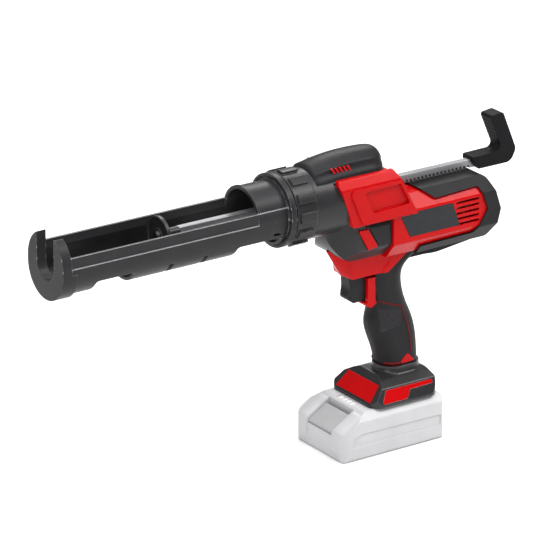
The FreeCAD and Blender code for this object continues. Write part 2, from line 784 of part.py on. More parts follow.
def plunger_hub():
    """Spacer between the disc and the rod's end, with a wide foot against the disc."""
    middle = rod_middle()
    front = PLUNGER_X + PLUNGER_THICK
    foot = Part.makeCone(2 * HUB_R, HUB_R, HUB_R, Vector(front, 0, middle), Vector(1, 0, 0))
    hub = foot.fuse(cylinder_x(HUB_R, front, ROD_FRONT_X, middle))
    return hub.cut(cylinder_x(SCREW_R, front, ROD_FRONT_X, middle))


def plunger_screw():
    start = Vector(PLUNGER_X - SCREW_HEAD_THICK, 0, rod_middle())
    head = Part.makeCone(SCREW_HEAD_R - 1.5, SCREW_HEAD_R, SCREW_HEAD_THICK, start, Vector(1, 0, 0))
    shank = cylinder_x(SCREW_R, PLUNGER_X, ROD_FRONT_X + 12.0, rod_middle())
    return head.fuse(shank)


def pull_handle():
    handle = prism(
        [
            (HANDLE_FRONT_X + 6.5, HANDLE_LOW_Z, 1.5),
            (HANDLE_FRONT_X, HANDLE_LOW_Z + 8.0),
            (HANDLE_FRONT_X, HANDLE_ARM_Z - 0.5, 1.0),
            (HANDLE_FRONT_X + 34.0, HANDLE_ARM_Z, 5.0),
            (HANDLE_FRONT_X + 18.8, HANDLE_TOP_Z - 1.7, 2.5),
            (HANDLE_FRONT_X + 33.8, HANDLE_TOP_Z, 3.0),
            (HANDLE_REAR_X, HANDLE_LOW_Z + 11.5, 9.0),
            (HANDLE_REAR_X - 6.0, HANDLE_LOW_Z, 9.0),
        ],
        "y",
        -HANDLE_HALF,
        HANDLE_HALF,
    )
    tip = RACK_PITCH_Z - RACK_MODULE
    socket = box(HANDLE_FRONT_X, ROD_REAR_X, -ROD_HALF, ROD_HALF, tip, ROD_TOP_Z)
    return handle.cut([socket, handle_pin()])


def handle_pin():
    return cylinder_y(HANDLE_PIN_R, -HANDLE_HALF + 0.5, HANDLE_HALF - 0.5, ROD_REAR_X - 5.0, rod_middle())


def gear_outline(teeth, module, turn):
    """Corners of a spur gear, with one tooth centred on the given angle from +X towards +Z."""
    pitch_r = module * teeth / 2
    base_r = pitch_r * math.cos(math.radians(PRESSURE_ANGLE))
    tip_r = pitch_r + module
    root_r = pitch_r - 1.25 * module
    half_tooth = math.pi / (2 * teeth) - BACKLASH / (4 * pitch_r)

    def involute(radius):
        angle = math.acos(min(1.0, base_r / radius))
        return math.tan(angle) - angle

    start_r = max(base_r, root_r)
    radii = (root_r, start_r, (pitch_r + start_r) / 2, pitch_r, (pitch_r + tip_r) / 2, tip_r)
    flank = [(r, half_tooth + involute(pitch_r) - involute(max(r, base_r))) for r in radii]
    corners = []
    for i in range(teeth):
        middle = turn + 2 * math.pi * i / teeth
        rising = [(r, middle - a) for r, a in flank]
        falling = [(r, middle + a) for r, a in reversed(flank)]
        corners += [(r * math.cos(a), r * math.sin(a)) for r, a in rising + falling]
    return corners


def spur_gear(teeth, module, turn, x, z, y0, y1):
    corners = [(x + u, z + v) for u, v in gear_outline(teeth, module, turn)]
    return prism(corners, "y", y0, y1)


def drive_shaft():
    low, high = bearing_places()
    shaft = cylinder_y(SHAFT_R, low, high + BEARING_WIDTH, PINION_X, PINION_Z)
    collars = []
    for y in (low + BEARING_WIDTH + RUN, high - RUN - 2.0):
        collars.append(cylinder_y(SHAFT_R + 2.0, y, y + 2.0, PINION_X, PINION_Z))
    return joined([shaft] + collars)


def rack_pinion():
    half = PINION_WIDTH / 2
    pinion = spur_gear(PINION_TEETH, RACK_MODULE, math.pi / 2, PINION_X, PINION_Z, -half, half)
    return pinion.cut(cylinder_y(SHAFT_R, -half, half, PINION_X, PINION_Z))


def output_gear():
    turn = -math.pi / 2 + math.pi / GEAR_TEETH
    gear = spur_gear(GEAR_TEETH, GEAR_MODULE, turn, PINION_X, PINION_Z, GEAR_Y, GEAR_Y + GEAR_WIDTH)
    return gear.cut(cylinder_y(SHAFT_R, GEAR_Y, GEAR_Y + GEAR_WIDTH, PINION_X, PINION_Z))


def driver_pinion():
    gear = spur_gear(DRIVER_TEETH, GEAR_MODULE, math.pi / 2, PINION_X, MOTOR_Z, GEAR_Y, GEAR_Y + GEAR_WIDTH)
    shaft = cylinder_y(DRIVER_SHAFT_R, -NOSE_HALF, GEAR_Y, PINION_X, MOTOR_Z)
    return gear.fuse(shaft)


def gearhead():
    """Closed reduction head: round planet stage, and a right-angle nose inside the gear case."""
    drum = cylinder_x(GEARHEAD_R, CASE_REAR_X - CASE_END_WALL, MOTOR_FRONT_X, MOTOR_Z)
    nose = prism(
        [
            (NOSE_X, NOSE_LOW_Z, 4.0),
            (CASE_REAR_X, NOSE_LOW_Z),
            (CASE_REAR_X, NOSE_TOP_Z),
            (NOSE_X, NOSE_TOP_Z, 4.0),
        ],
        "y",
        -NOSE_HALF,
        NOSE_HALF,
    )
    bore = cylinder_y(DRIVER_SHAFT_R + SHAFT_FIT, -NOSE_HALF, NOSE_HALF, PINION_X, MOTOR_Z)
    input_bore = cylinder_x(MOTOR_SHAFT_R + RUN, MOTOR_FRONT_X - 12.0, MOTOR_FRONT_X, MOTOR_Z)
    return joined([drum, nose]).cut([bore, input_bore])


def motor_can():
    rear = MOTOR_FRONT_X + MOTOR_LENGTH
    can = cylinder_x(MOTOR_R, MOTOR_FRONT_X, rear - 4.0, MOTOR_Z)
    bell = Part.makeCone(MOTOR_R, MOTOR_R - 3.0, 4.0, Vector(rear - 4.0, 0, MOTOR_Z), Vector(1, 0, 0))
    bore = cylinder_x(MOTOR_SHAFT_R + SHAFT_FIT, MOTOR_FRONT_X, rear, MOTOR_Z)
    flats = [box(MOTOR_FRONT_X + 6.0, rear - 12.0, -MOTOR_R, MOTOR_R, z, z + 4.0) for z in
             (MOTOR_Z + MOTOR_R - 1.2, MOTOR_Z - MOTOR_R - 2.8)]
    return can.fuse(bell).cut([bore] + flats)


def motor_rotor():
    rear = MOTOR_FRONT_X + MOTOR_LENGTH
    fan_x = rear + 2.0
    shaft = cylinder_x(MOTOR_SHAFT_R, MOTOR_FRONT_X - 10.0, fan_x + FAN_WIDTH, MOTOR_Z)
    hub = cylinder_x(5.0, fan_x, fan_x + FAN_WIDTH, MOTOR_Z)
    plate = cylinder_x(FAN_R, fan_x, fan_x + 1.5, MOTOR_Z)
    blades = []
    for i in range(FAN_BLADES):
        blade = box(fan_x, fan_x + FAN_WIDTH, -0.7, 0.7, MOTOR_Z + 4.0, MOTOR_Z + FAN_R - 0.5)
        blade.rotate(Vector(0, 0, MOTOR_Z), Vector(1, 0, 0), 360.0 * i / FAN_BLADES)
        blades.append(blade)
    return joined([shaft, hub, plate] + blades)


def lock_button(grow, stroke):
    """Lock-off button: a slanted cap on each side and a bar between them. Grown, it is its own way."""
    inner = BUTTON_BAR_HALF - 2.5
    outer = CASE_HALF + BUTTON_PROUD
    cap = prism(
        [
            (BUTTON_X - grow, BUTTON_TOP_Z + grow, 1.0),
            (BUTTON_X + 11.0 - grow, BUTTON_LOW_Z - grow, 1.0),
            (BUTTON_X + 21.5 + grow, BUTTON_LOW_Z + 1.5 - grow, 1.0),
            (BUTTON_X + 10.5 + grow, BUTTON_TOP_Z - 0.5 + grow, 1.0),
        ],
        "y",
        inner - grow - stroke,
        outer + stroke,
    )
    bar_x = BUTTON_X + 12.0
    floor = BUTTON_LOW_Z - 3.5
    leg = box(bar_x - grow, bar_x + 7.0 + grow, inner - grow, BUTTON_BAR_HALF + grow + stroke, floor - grow,
              BUTTON_LOW_Z + 6.0)
    bar = box(bar_x - grow, bar_x + 7.0 + grow, -BUTTON_BAR_HALF - grow, BUTTON_BAR_HALF + grow + stroke,
              floor - grow, floor + 3.5 + grow)
    mirrored_leg = box(bar_x - grow, bar_x + 7.0 + grow, -BUTTON_BAR_HALF - grow, -inner + grow + stroke,
                       floor - grow, BUTTON_LOW_Z + 6.0)
    return joined([cap, mirrored(cap), leg, mirrored_leg, bar])


def strip_root():
    """Narrower root that ties the strip behind the trigger to the grip's core."""
    half = STRIP_HALF - GRIP_SKIN
    return box(STRIP_EDGE_X - 2.0, STRIP_REAR_X, -half, half, STRIP_LOW_Z, CHIN_LOW_Z + 4.0)


def housing():
    """Both red halves in one piece, before they are parted."""
    rear_wall = prism(
        [
            (CASE_REAR_X, MOTOR_TOP_Z - 4.0),
            (CHEEK_REAR_X - 6.0, MOTOR_TOP_Z - 4.0),
            (CHEEK_REAR_X - 18.0, CHEEK_TOP_Z - 10.0, 4.0),
            (CHEEK_REAR_X - 24.5, COVER_BASE_Z, 1.0),
            (CASE_REAR_X - 12.0, COVER_BASE_Z),
            (CASE_REAR_X - 12.0, CASE_TOP_Z),
            (CASE_REAR_X, CASE_TOP_Z),
        ],
        "y",
        -CASE_HALF - 1.0,
        CASE_HALF + 1.0,
    )
    barrel = prism(motor_section(0.0), "x", CASE_REAR_X, MOTOR_REAR_X)
    cavity = prism(motor_section(-WALL), "x", CASE_REAR_X + WALL + 1.4, MOTOR_REAR_X - WALL)
    neck = grip_loft(0.0).common(above_shoulder())
    core = grip_loft(GRIP_SKIN)
    strip = prism(
        [
            (STRIP_FRONT_X, CHIN_LOW_Z + 4.0),
            (STRIP_FRONT_X, TRIGGER_LOW_Z - 2 * RUN, 1.0),
            (STRIP_FRONT_X - HOOK_LENGTH, TRIGGER_LOW_Z - 3 * RUN, 1.0),
            (STRIP_FRONT_X - HOOK_LENGTH + 1.0, STRIP_LOW_Z + 1.0, 1.5),
            (STRIP_FRONT_X + 4.0, STRIP_LOW_Z - 2.0, 2.0),
            (STRIP_EDGE_X, STRIP_LOW_Z + 1.0),
            (STRIP_EDGE_X, CHIN_LOW_Z + 4.0),
        ],
        "y",
        -STRIP_HALF,
        STRIP_HALF,
    )
    strip = strip.fuse(strip_root())
    body = joined([barrel, cheek_envelope(), rear_wall, chin(), neck, core, strip])
    void = grip_loft(GRIP_SKIN + WALL)
    chin_void = box(CHIN_KEEL_X + 20.0, SHOULDER_X + 16.0, -CHIN_HALF + 4.0, CHIN_HALF - 4.0,
                    CHIN_LOW_Z - 4.0, CASE_BOTTOM_Z - WALL)
    trigger_way = box(STRIP_FRONT_X - 20.0, SWITCH_X, -TRIGGER_HALF - RUN, TRIGGER_HALF + RUN,
                      TRIGGER_LOW_Z - 2 * RUN, CHIN_LOW_Z + 3.0)
    nose_way = cylinder_x(GEARHEAD_R, CASE_REAR_X, CASE_REAR_X + 10.0, MOTOR_Z)
    rod_way = rod_passage(CASE_REAR_X, HANDLE_FRONT_X)
    body = body.cut([cavity, void, chin_void, trigger_way, nose_way, rod_way])
    for i in range(VENTS):
        z = VENT_LOW_Z + i * VENT_PITCH
        slot = [
            (VENT_START_X, z, 1.0),
            (VENT_START_X + VENT_LENGTH, z, 1.0),
            (VENT_START_X + VENT_LENGTH, z + VENT_HEIGHT, 1.0),
            (VENT_START_X, z + VENT_HEIGHT, 1.0),
        ]
        body = body.cut(prism(slot, "y", -MOTOR_HALF, MOTOR_HALF))
    bosses = [cylinder_y(BOSS_R, -CHIN_HALF + 2.0, CHIN_HALF - 2.0, x, z) for x, z in SCREW_PLACES]
    body = body.fuse(bosses).removeSplitter()
    return body.cut([name_plate_block(), gear_case_envelope()])


def name_plate_block():
    front = MOTOR_HALF - PLATE_DEPTH
    return prism(
        [(2.5, 227.0, 1.5), (61.5, 227.0, 1.5), (70.0, 204.0, 1.5), (14.0, 204.0, 1.5)],
        "y",
        -front - PLATE_THICK,
        -front,
    )


def rear_bumper():
    grown = prism(motor_section(BUMPER_SKIN), "x", SHOULDER_END_X, BUMPER_REAR_X)
    side = prism(
        [
            (SHOULDER_END_X - 4.0, MOTOR_LOW_Z - BUMPER_SKIN),
            (MOTOR_REAR_X + 6.5, MOTOR_LOW_Z - BUMPER_SKIN, 5.0),
            (BUMPER_REAR_X, MOTOR_Z - 2.0, 5.0),
            (MOTOR_REAR_X + 4.0, MOTOR_TOP_Z + BUMPER_SKIN, 7.0),
            (SHOULDER_END_X + 4.0, MOTOR_TOP_Z + BUMPER_SKIN),
        ],
        "y",
        -MOTOR_HALF - BUMPER_SKIN,
        MOTOR_HALF + BUMPER_SKIN,
    )
    window = prism(
        [
            (CASE_REAR_X, MOTOR_TOP_Z + 9.0),
            (24.0, MOTOR_TOP_Z + 9.0),
            (44.0, 234.5, 2.0),
            (92.5, 236.0, 2.0),
            (101.0, 213.5, 3.0),
            (87.0, 192.0, 3.0),
            (CASE_REAR_X, 189.5),
        ],
        "y",
        -MOTOR_HALF - BUMPER_SKIN,
        MOTOR_HALF + BUMPER_SKIN,
    )
    barrel = prism(motor_section(0.0), "x", CASE_REAR_X, MOTOR_REAR_X)
    rod_way = box(
        CASE_REAR_X,
        HANDLE_REAR_X,
        -HANDLE_HALF - 2 * RUN,
        HANDLE_HALF + 2 * RUN,
        HANDLE_LOW_Z - 2 * RUN,
        ROD_TOP_Z,
    )
    low = MOTOR_LOW_Z - BUMPER_SKIN
    keel = prism(
        [
            (SHOULDER_END_X - 4.0, MOTOR_LOW_Z + 4.0),
            (SHOULDER_END_X - 4.0, low - KEEL_DROP - 4.0),
            (SHOULDER_END_X + 14.0, low - KEEL_DROP, 8.0),
            (MOTOR_REAR_X + 1.0, low),
            (MOTOR_REAR_X + 1.0, MOTOR_LOW_Z + 4.0),
        ],
        "y",
        -KEEL_HALF,
        KEEL_HALF,
    )
    taper = prism(
        [
            (SHOULDER_END_X - 4.0, -5.0),
            (SHOULDER_END_X + 24.0, -KEEL_HALF, 20.0),
            (MOTOR_REAR_X + 1.0, -KEEL_HALF),
            (MOTOR_REAR_X + 1.0, KEEL_HALF),
            (SHOULDER_END_X + 24.0, KEEL_HALF, 20.0),
            (SHOULDER_END_X - 4.0, 5.0),
        ],
        "z",
        low - KEEL_DROP - 4.0,
        MOTOR_LOW_Z + 4.0,
    )
    grown = joined([grown.common(side), keel.common(taper)])
    bumper = grown.cut([barrel, window, rod_way, grip_loft(0.0)])
    return max(bumper.Solids, key=lambda solid: solid.Volume)


def grip_covers():
    skin = grip_loft(0.0).cut([grip_loft(GRIP_SKIN), above_shoulder()])
    reach = 200.0
    skin = skin.cut(box(-reach, reach, -reach, reach, 0.0, GRIP_LOW_Z))
    strip = box(STRIP_FRONT_X - HOOK_LENGTH, STRIP_EDGE_X, -STRIP_HALF, STRIP_HALF,
                STRIP_LOW_Z - 2.0, reach)
    barrel = prism(motor_section(0.0), "x", CASE_REAR_X, MOTOR_REAR_X)
    return skin.cut([strip, strip_root(), barrel])


def trigger():
    body = prism(
        [
            (TRIGGER_TOE_X + 1.2, TRIGGER_TOP_Z),
            (TRIGGER_TOE_X + 2.6, TRIGGER_TOP_Z - 11.0, 14.0),
            (TRIGGER_TOE_X - 0.3, TRIGGER_LOW_Z + 5.0, 3.5),
            (TRIGGER_TOE_X + 6.0, TRIGGER_LOW_Z, 3.5),
            (STRIP_FRONT_X - RUN, TRIGGER_LOW_Z + 1.0, 2.0),
            (STRIP_FRONT_X - RUN, TRIGGER_TOP_Z),
        ],
        "y",
        -TRIGGER_HALF,
        TRIGGER_HALF,
    )
    rounding = prism(
        [
            (TRIGGER_TOE_X - 2.0, -TRIGGER_HALF, 7.0),
            (STRIP_FRONT_X, -TRIGGER_HALF),
            (STRIP_FRONT_X, TRIGGER_HALF),
            (TRIGGER_TOE_X - 2.0, TRIGGER_HALF, 7.0),
        ],
        "z",
        TRIGGER_LOW_Z - 1.0,
        TRIGGER_TOP_Z,
    )
    middle = (TRIGGER_TOP_Z + TRIGGER_LOW_Z) / 2
    stem = box(STRIP_FRONT_X - 2.0, SWITCH_X - TRIGGER_TRAVEL - RUN, -STEM_HALF, STEM_HALF, middle - 5.0,
               middle + 5.0)
    return joined([body.common(rounding), stem])


def switch_module():
    middle = (TRIGGER_TOP_Z + TRIGGER_LOW_Z) / 2
    return prism(
        [
            (SWITCH_X, middle - 11.0, 1.5),
            (SWITCH_X + SWITCH_LENGTH, middle - 11.0, 1.5),
            (SWITCH_X + SWITCH_LENGTH, middle + 6.0, 1.5),
            (SWITCH_X + SWITCH_LENGTH - 6.0, middle + 11.0, 1.5),
            (SWITCH_X, middle + 11.0, 1.5),
        ],
        "y",
        -SWITCH_HALF,
        SWITCH_HALF,
    )


def foot_outline(inset):
    return prism(
        [
            (FOOT_FRONT_X + inset, FOOT_LOW_Z + inset),
            (FOOT_FRONT_X + inset, FOOT_LOW_Z + 2.0 + inset),
            (FOOT_FRONT_X + FOOT_SLOPE + inset, FOOT_TOP_Z - inset, 3.0),
            (FOOT_REAR_X - 3.0 - inset, FOOT_TOP_Z - inset, 3.0),
            (FOOT_REAR_X - inset, FOOT_TOP_Z - 7.0, 2.0),
            (FOOT_REAR_X - inset, FOOT_LOW_Z + 6.5 + inset),
            (FOOT_REAR_X - 4.0 - inset, FOOT_LOW_Z + inset),
        ],
        "y",
        -FOOT_HALF,
        FOOT_HALF,
    )


def foot_section(inset):
    half = FOOT_HALF - inset
    return prism(
        both_sides(
            [
                (half, FOOT_LOW_Z + inset),
                (half, FOOT_LOW_Z + 2.5 + inset, 1.0),
                (half - FOOT_LEAN, FOOT_TOP_Z - 7.5, 2.0),
                (half - 15.0, FOOT_TOP_Z - 2.5 - inset * 0.6, 4.0),
                (half - 22.0, FOOT_TOP_Z - inset),
            ]
        ),
        "x",
        FOOT_FRONT_X,
        FOOT_REAR_X,
    )


def foot_plan(inset):
    half = FOOT_HALF - inset
    return prism(
        [
            (FOOT_FRONT_X + inset, -half, 12.0 - inset),
            (FOOT_REAR_X - inset, -half, 9.0 - inset),
            (FOOT_REAR_X - inset, half, 9.0 - inset),
            (FOOT_FRONT_X + inset, half, 12.0 - inset),
        ],
        "z",
        FOOT_LOW_Z,
        FOOT_TOP_Z,
    )


def foot_panel_block():
    """Sloped plate on the front of the foot."""
    lift = 0.8
    slope_x, slope_z = FOOT_SLOPE, FOOT_TOP_Z - FOOT_LOW_Z - 2.0
    length = math.hypot(slope_x, slope_z)
    out_x, out_z = -slope_z / length, slope_x / length
    low = (FOOT_FRONT_X + slope_x * 0.09, FOOT_LOW_Z + 2.0 + slope_z * 0.09)
    high = (FOOT_FRONT_X + slope_x * 0.72, FOOT_LOW_Z + 2.0 + slope_z * 0.72)
    corners = []
    for (x, z), rise in ((low, lift), (high, lift), (high, -1.2), (low, -1.2)):
        corners.append((x + out_x * rise, z + out_z * rise))
    plate = prism(corners, "y", -FOOT_HALF, FOOT_HALF)
    front = both_sides([(FOOT_HALF - 8.5, FOOT_LOW_Z), (FOOT_HALF - 14.5, FOOT_TOP_Z)])
    return plate.common(prism(front, "x", FOOT_FRONT_X - 2.0, 0.0))


def foot_inlay_block(side):
    stripe = prism(
        [
            (FOOT_FRONT_X + 10.0, FOOT_LOW_Z + 3.5, 1.0),
            (FOOT_FRONT_X + 16.5, FOOT_LOW_Z + 14.3, 1.0),
            (FOOT_REAR_X - 4.5, FOOT_LOW_Z + 14.3, 1.0),
            (FOOT_REAR_X - 4.5, FOOT_LOW_Z + 11.0, 1.0),
            (FOOT_FRONT_X + 42.5, FOOT_LOW_Z + 10.5, 1.0),
            (FOOT_FRONT_X + 37.5, FOOT_LOW_Z + 3.5, 1.0),
        ],
        "y",
        FOOT_HALF - FOOT_LEAN - 2 * INLAY_DEPTH,
        FOOT_HALF,
    )
    stripe = stripe.common(foot_section(0.0).cut(foot_section(0.0).translated(Vector(0, -INLAY_DEPTH, 0))))
    return stripe if side > 0 else mirrored(stripe)


def tongue(grow):
    """T-shaped slide tongue under the foot, or its channel in the pack when grown."""
    low = FOOT_LOW_Z - TONGUE_DROP - grow
    lip = FOOT_LOW_Z - TONGUE_DROP + TONGUE_LIP + grow
    front = TONGUE_FRONT_X - grow
    rear = PACK_REAR_X if grow else TONGUE_REAR_X
    neck = box(front, rear, -TONGUE_NECK_HALF - grow, TONGUE_NECK_HALF + grow, low, FOOT_LOW_Z)
    lips = box(front, rear, -TONGUE_HALF - grow, TONGUE_HALF + grow, low, lip)
    return neck.fuse(lips)


def contact_blades(grow, reach):
    """Two contact blades that stand out ahead of the tongue, rooted in it."""
    blades = []
    z0 = FOOT_LOW_Z - TONGUE_DROP + 1.0
    for y in (-8.0, 8.0):
        blades.append(box(TONGUE_FRONT_X - reach, TONGUE_FRONT_X + 6.0, y - 0.5 - grow, y + 0.5 + grow,
                          z0 - grow, z0 + 5.0 + grow))
    return blades


def foot_flare():
    """Hollow-sided flare that runs from the grip out into the foot's top."""
    wires = []
    for i in range(FLARE_STEPS + 1):
        angle = math.pi / 2 * i / FLARE_STEPS
        grow = FLARE_REACH * (1 - math.sin(angle))
        z = GRIP_LOW_Z - 1.5 - FLARE_HEIGHT * math.cos(angle)
        front, rear, half = 0.4 - grow, FOOT_REAR_X - 2.2, 17.3 + grow
        corners = [
            (front, -half, GRIP_ROUND),
            (rear, -half, GRIP_ROUND),
            (rear, half, GRIP_ROUND),
            (front, half, GRIP_ROUND),
        ]
        wires.append(outline(corners, "z", z))
    flare = Part.makeLoft(wires, True, True)
    top = GRIP_LOW_Z
    slope = FOOT_SLOPE / (FOOT_TOP_Z - FOOT_LOW_Z - 2.0)
    side = prism(
        [
            (FOOT_FRONT_X, FOOT_LOW_Z + 2.0),
            (FOOT_FRONT_X + slope * (top - FOOT_LOW_Z - 2.0), top),
            (FOOT_REAR_X - 1.0, top),
            (FOOT_REAR_X - 1.0, FOOT_LOW_Z + 2.0),
        ],
        "y",
        -FOOT_HALF,
        FOOT_HALF,
    )
    return flare.common(side)


def battery_foot():
    foot = foot_outline(0.0).common(foot_section(0.0)).common(foot_plan(0.0))
    foot = joined([foot, foot_flare(), tongue(0.0)])
    cavity = foot_outline(FOOT_WALL).common(foot_section(FOOT_WALL)).common(foot_plan(FOOT_WALL))
    cuts = [cavity, grip_loft(GRIP_SKIN), foot_panel_block(), foot_inlay_block(-1), foot_inlay_block(1)]
    return foot.cut(cuts + contact_blades(0.0, 7.0))


def foot_panel():
    return foot_panel_block()


def control_board():
    z = FOOT_LOW_Z + FOOT_WALL
    board = box(FOOT_FRONT_X + 14.0, FOOT_REAR_X - 10.0, -26.0, 26.0, z, z + 1.6)
    parts = [
        box(-6.0, 6.0, -18.0, -6.0, z + 1.6, z + 7.0),
        box(10.0, 22.0, 4.0, 18.0, z + 1.6, z + 6.0),
        cylinder_z(5.0, 28.0, -12.0, z + 1.6, z + 12.0),
    ]
    return joined([board] + parts)


def cylinder_z(radius, x, y, z0, z1):
    return Part.makeCylinder(radius, z1 - z0, Vector(x, y, z0), Vector(0, 0, 1))


def pack_outline():
    side = prism(
        [
            (PACK_FRONT_X, 0.0, 3.0),
            (PACK_REAR_X, 0.0, 3.0),
            (PACK_REAR_X, PACK_TOP_Z, 4.0),
            (PACK_FRONT_X + 28.0, PACK_TOP_Z, 6.0),
            (PACK_FRONT_X, PACK_NOSE_Z, 4.0),
        ],
        "y",
        -PACK_HALF,
        PACK_HALF,
    )
    edge = both_sides(
        [
            (PACK_HALF, 0.0, 4.0),
            (PACK_HALF, PACK_TOP_Z - SHOULDER_DROP, 2.5),
            (PACK_HALF - SHOULDER_DROP, PACK_TOP_Z, 1.5),
        ]
    )
    section = prism(edge, "x", PACK_FRONT_X, PACK_REAR_X)
    plan = prism(
        [
            (PACK_FRONT_X, -PACK_HALF, PACK_FRONT_R),
            (PACK_REAR_X, -PACK_HALF, PACK_REAR_R),
            (PACK_REAR_X, PACK_HALF, PACK_REAR_R),
            (PACK_FRONT_X, PACK_HALF, PACK_FRONT_R),
        ],
        "z",
        0.0,
        PACK_TOP_Z,
    )
    panel = pack_side_panel()
    return side.common(section).common(plan).cut([panel, mirrored(panel)])


def pack_side_panel():
    """Shallow sunk panel along the pack's side, rounded at its front."""
    low = PACK_SPLIT_Z + 1.2
    return prism(
        [
            (PACK_FRONT_X + 10.5, low, 1.5),
            (PACK_FRONT_X + 12.0, low + 7.0, 4.0),
            (PACK_FRONT_X + 21.0, low + 11.3, 4.0),
            (PACK_REAR_X - 4.5, low + 10.0, 1.5),
            (PACK_REAR_X - 4.5, low, 1.5),
        ],
        "y",
        PACK_HALF - PANEL_DEPTH,
        PACK_HALF + 1.0,
    )


def latch_pocket():
    top = PACK_TOP_Z + 10.0
    return prism(
        [
            (PACK_FRONT_X - 10.0, LATCH_LOW_Z),
            (PACK_FRONT_X + 9.0, LATCH_LOW_Z),
            (PACK_FRONT_X + 25.0, LATCH_LOW_Z + 8.5),
            (PACK_FRONT_X + 25.0, top),
            (PACK_FRONT_X - 10.0, top),
        ],
        "y",
        -LATCH_HALF - RUN,
        LATCH_HALF + RUN,
    )


def latch_button():
    rear = LATCH_STROKE + RUN
    low = LATCH_LOW_Z + RUN
    return prism(
        [
            (PACK_FRONT_X + 1.2, low, 1.0),
            (PACK_FRONT_X + 9.0 - rear, low),
            (PACK_FRONT_X + 25.0 - rear, low + 8.5),
            (PACK_FRONT_X + 25.0 - rear, PACK_NOSE_Z + 11.0, 1.0),
            (PACK_FRONT_X + 1.2, PACK_NOSE_Z - 1.5, 1.0),
        ],
        "y",
        -LATCH_HALF,
        LATCH_HALF,
    )


def pack_cavity():
    cells = box(PACK_FRONT_X + 11.0, PACK_REAR_X - PACK_WALL, -PACK_HALF + PACK_WALL, PACK_HALF - PACK_WALL,
                PACK_WALL, 2 * CELL_R + PACK_WALL + 1.0)
    board_rear = PACK_REAR_X - 2 * PACK_WALL
    board_top = 2 * CELL_R + PACK_WALL + 6.0
    board = box(BOARD_FRONT_X, board_rear, -BOARD_HALF, BOARD_HALF, PACK_WALL, board_top)
    return cells.fuse(board)


def battery_case():
    shell = pack_outline().cut(lamp_recess())
    cuts = [latch_pocket(), tongue(RUN), pack_cavity()] + contact_blades(0.7, 9.0) + lamp_blocks()
    return shell.cut(cuts)


def lamp_recess():
    """Shallow strip in the pack's top that the charge lamps lie in."""
    half = LAMP_PITCH * LAMPS / 2 + 2.0
    strip = [(-37.0, -half, 1.5), (-28.0, -half, 1.5), (-28.0, half, 1.5), (-37.0, half, 1.5)]
    return prism(strip, "z", PACK_TOP_Z - LAMP_RECESS, PACK_TOP_Z + 1.0)


def lamp_blocks():
    """Charge lamps in a row on the pack's top, ahead of the foot."""
    lamps = []
    for i in range(LAMPS):
        y = LAMP_PITCH * (i - (LAMPS - 1) / 2)
        lamps.append(
            prism(
                [(-34.5, y - 1.4, 1.3), (-29.0, y - 1.4, 1.3), (-29.0, y + 1.4, 1.3), (-34.5, y + 1.4, 1.3)],
                "z",
                PACK_TOP_Z - LAMP_RECESS - 1.2,
                PACK_TOP_Z - LAMP_RECESS + 0.3,
            )
        )
    return lamps


def battery_cells():
    cells = []
    for i in range(CELLS):
        x = (i - (CELLS - 1) / 2) * CELL_PITCH + (PACK_FRONT_X + PACK_REAR_X) / 2 + 4.2
        cells.append(cylinder_y(CELL_R, -CELL_LENGTH / 2, CELL_LENGTH / 2, x, PACK_WALL + CELL_R))
    return cells


def battery_board():
    z = 2 * CELL_R + PACK_WALL + 2.0
    return box(BOARD_FRONT_X, PACK_REAR_X - 2 * PACK_WALL, -BOARD_HALF, BOARD_HALF, z, z + 1.6)


def housing_screws():
    screws = []
    for x, z in SCREW_PLACES:
        head = cylinder_y(HOUSING_SCREW_HEAD_R, CHIN_HALF - 5.0, CHIN_HALF - 2.5, x, z)
        shank = cylinder_y(HOUSING_SCREW_R, CHIN_HALF - 5.0 - HOUSING_SCREW_LENGTH, CHIN_HALF - 5.0, x, z)
        screws.append(head.fuse(shank))
    return screws


def screw_holes():
    holes = []
    for x, z in SCREW_PLACES:
        seat = CHIN_HALF - 5.0
        holes.append(cylinder_y(HOUSING_SCREW_HEAD_R, seat, MOTOR_HALF, x, z))
        holes.append(cylinder_y(HOUSING_SCREW_R, seat - HOUSING_SCREW_LENGTH, seat, x, z))
    return holes


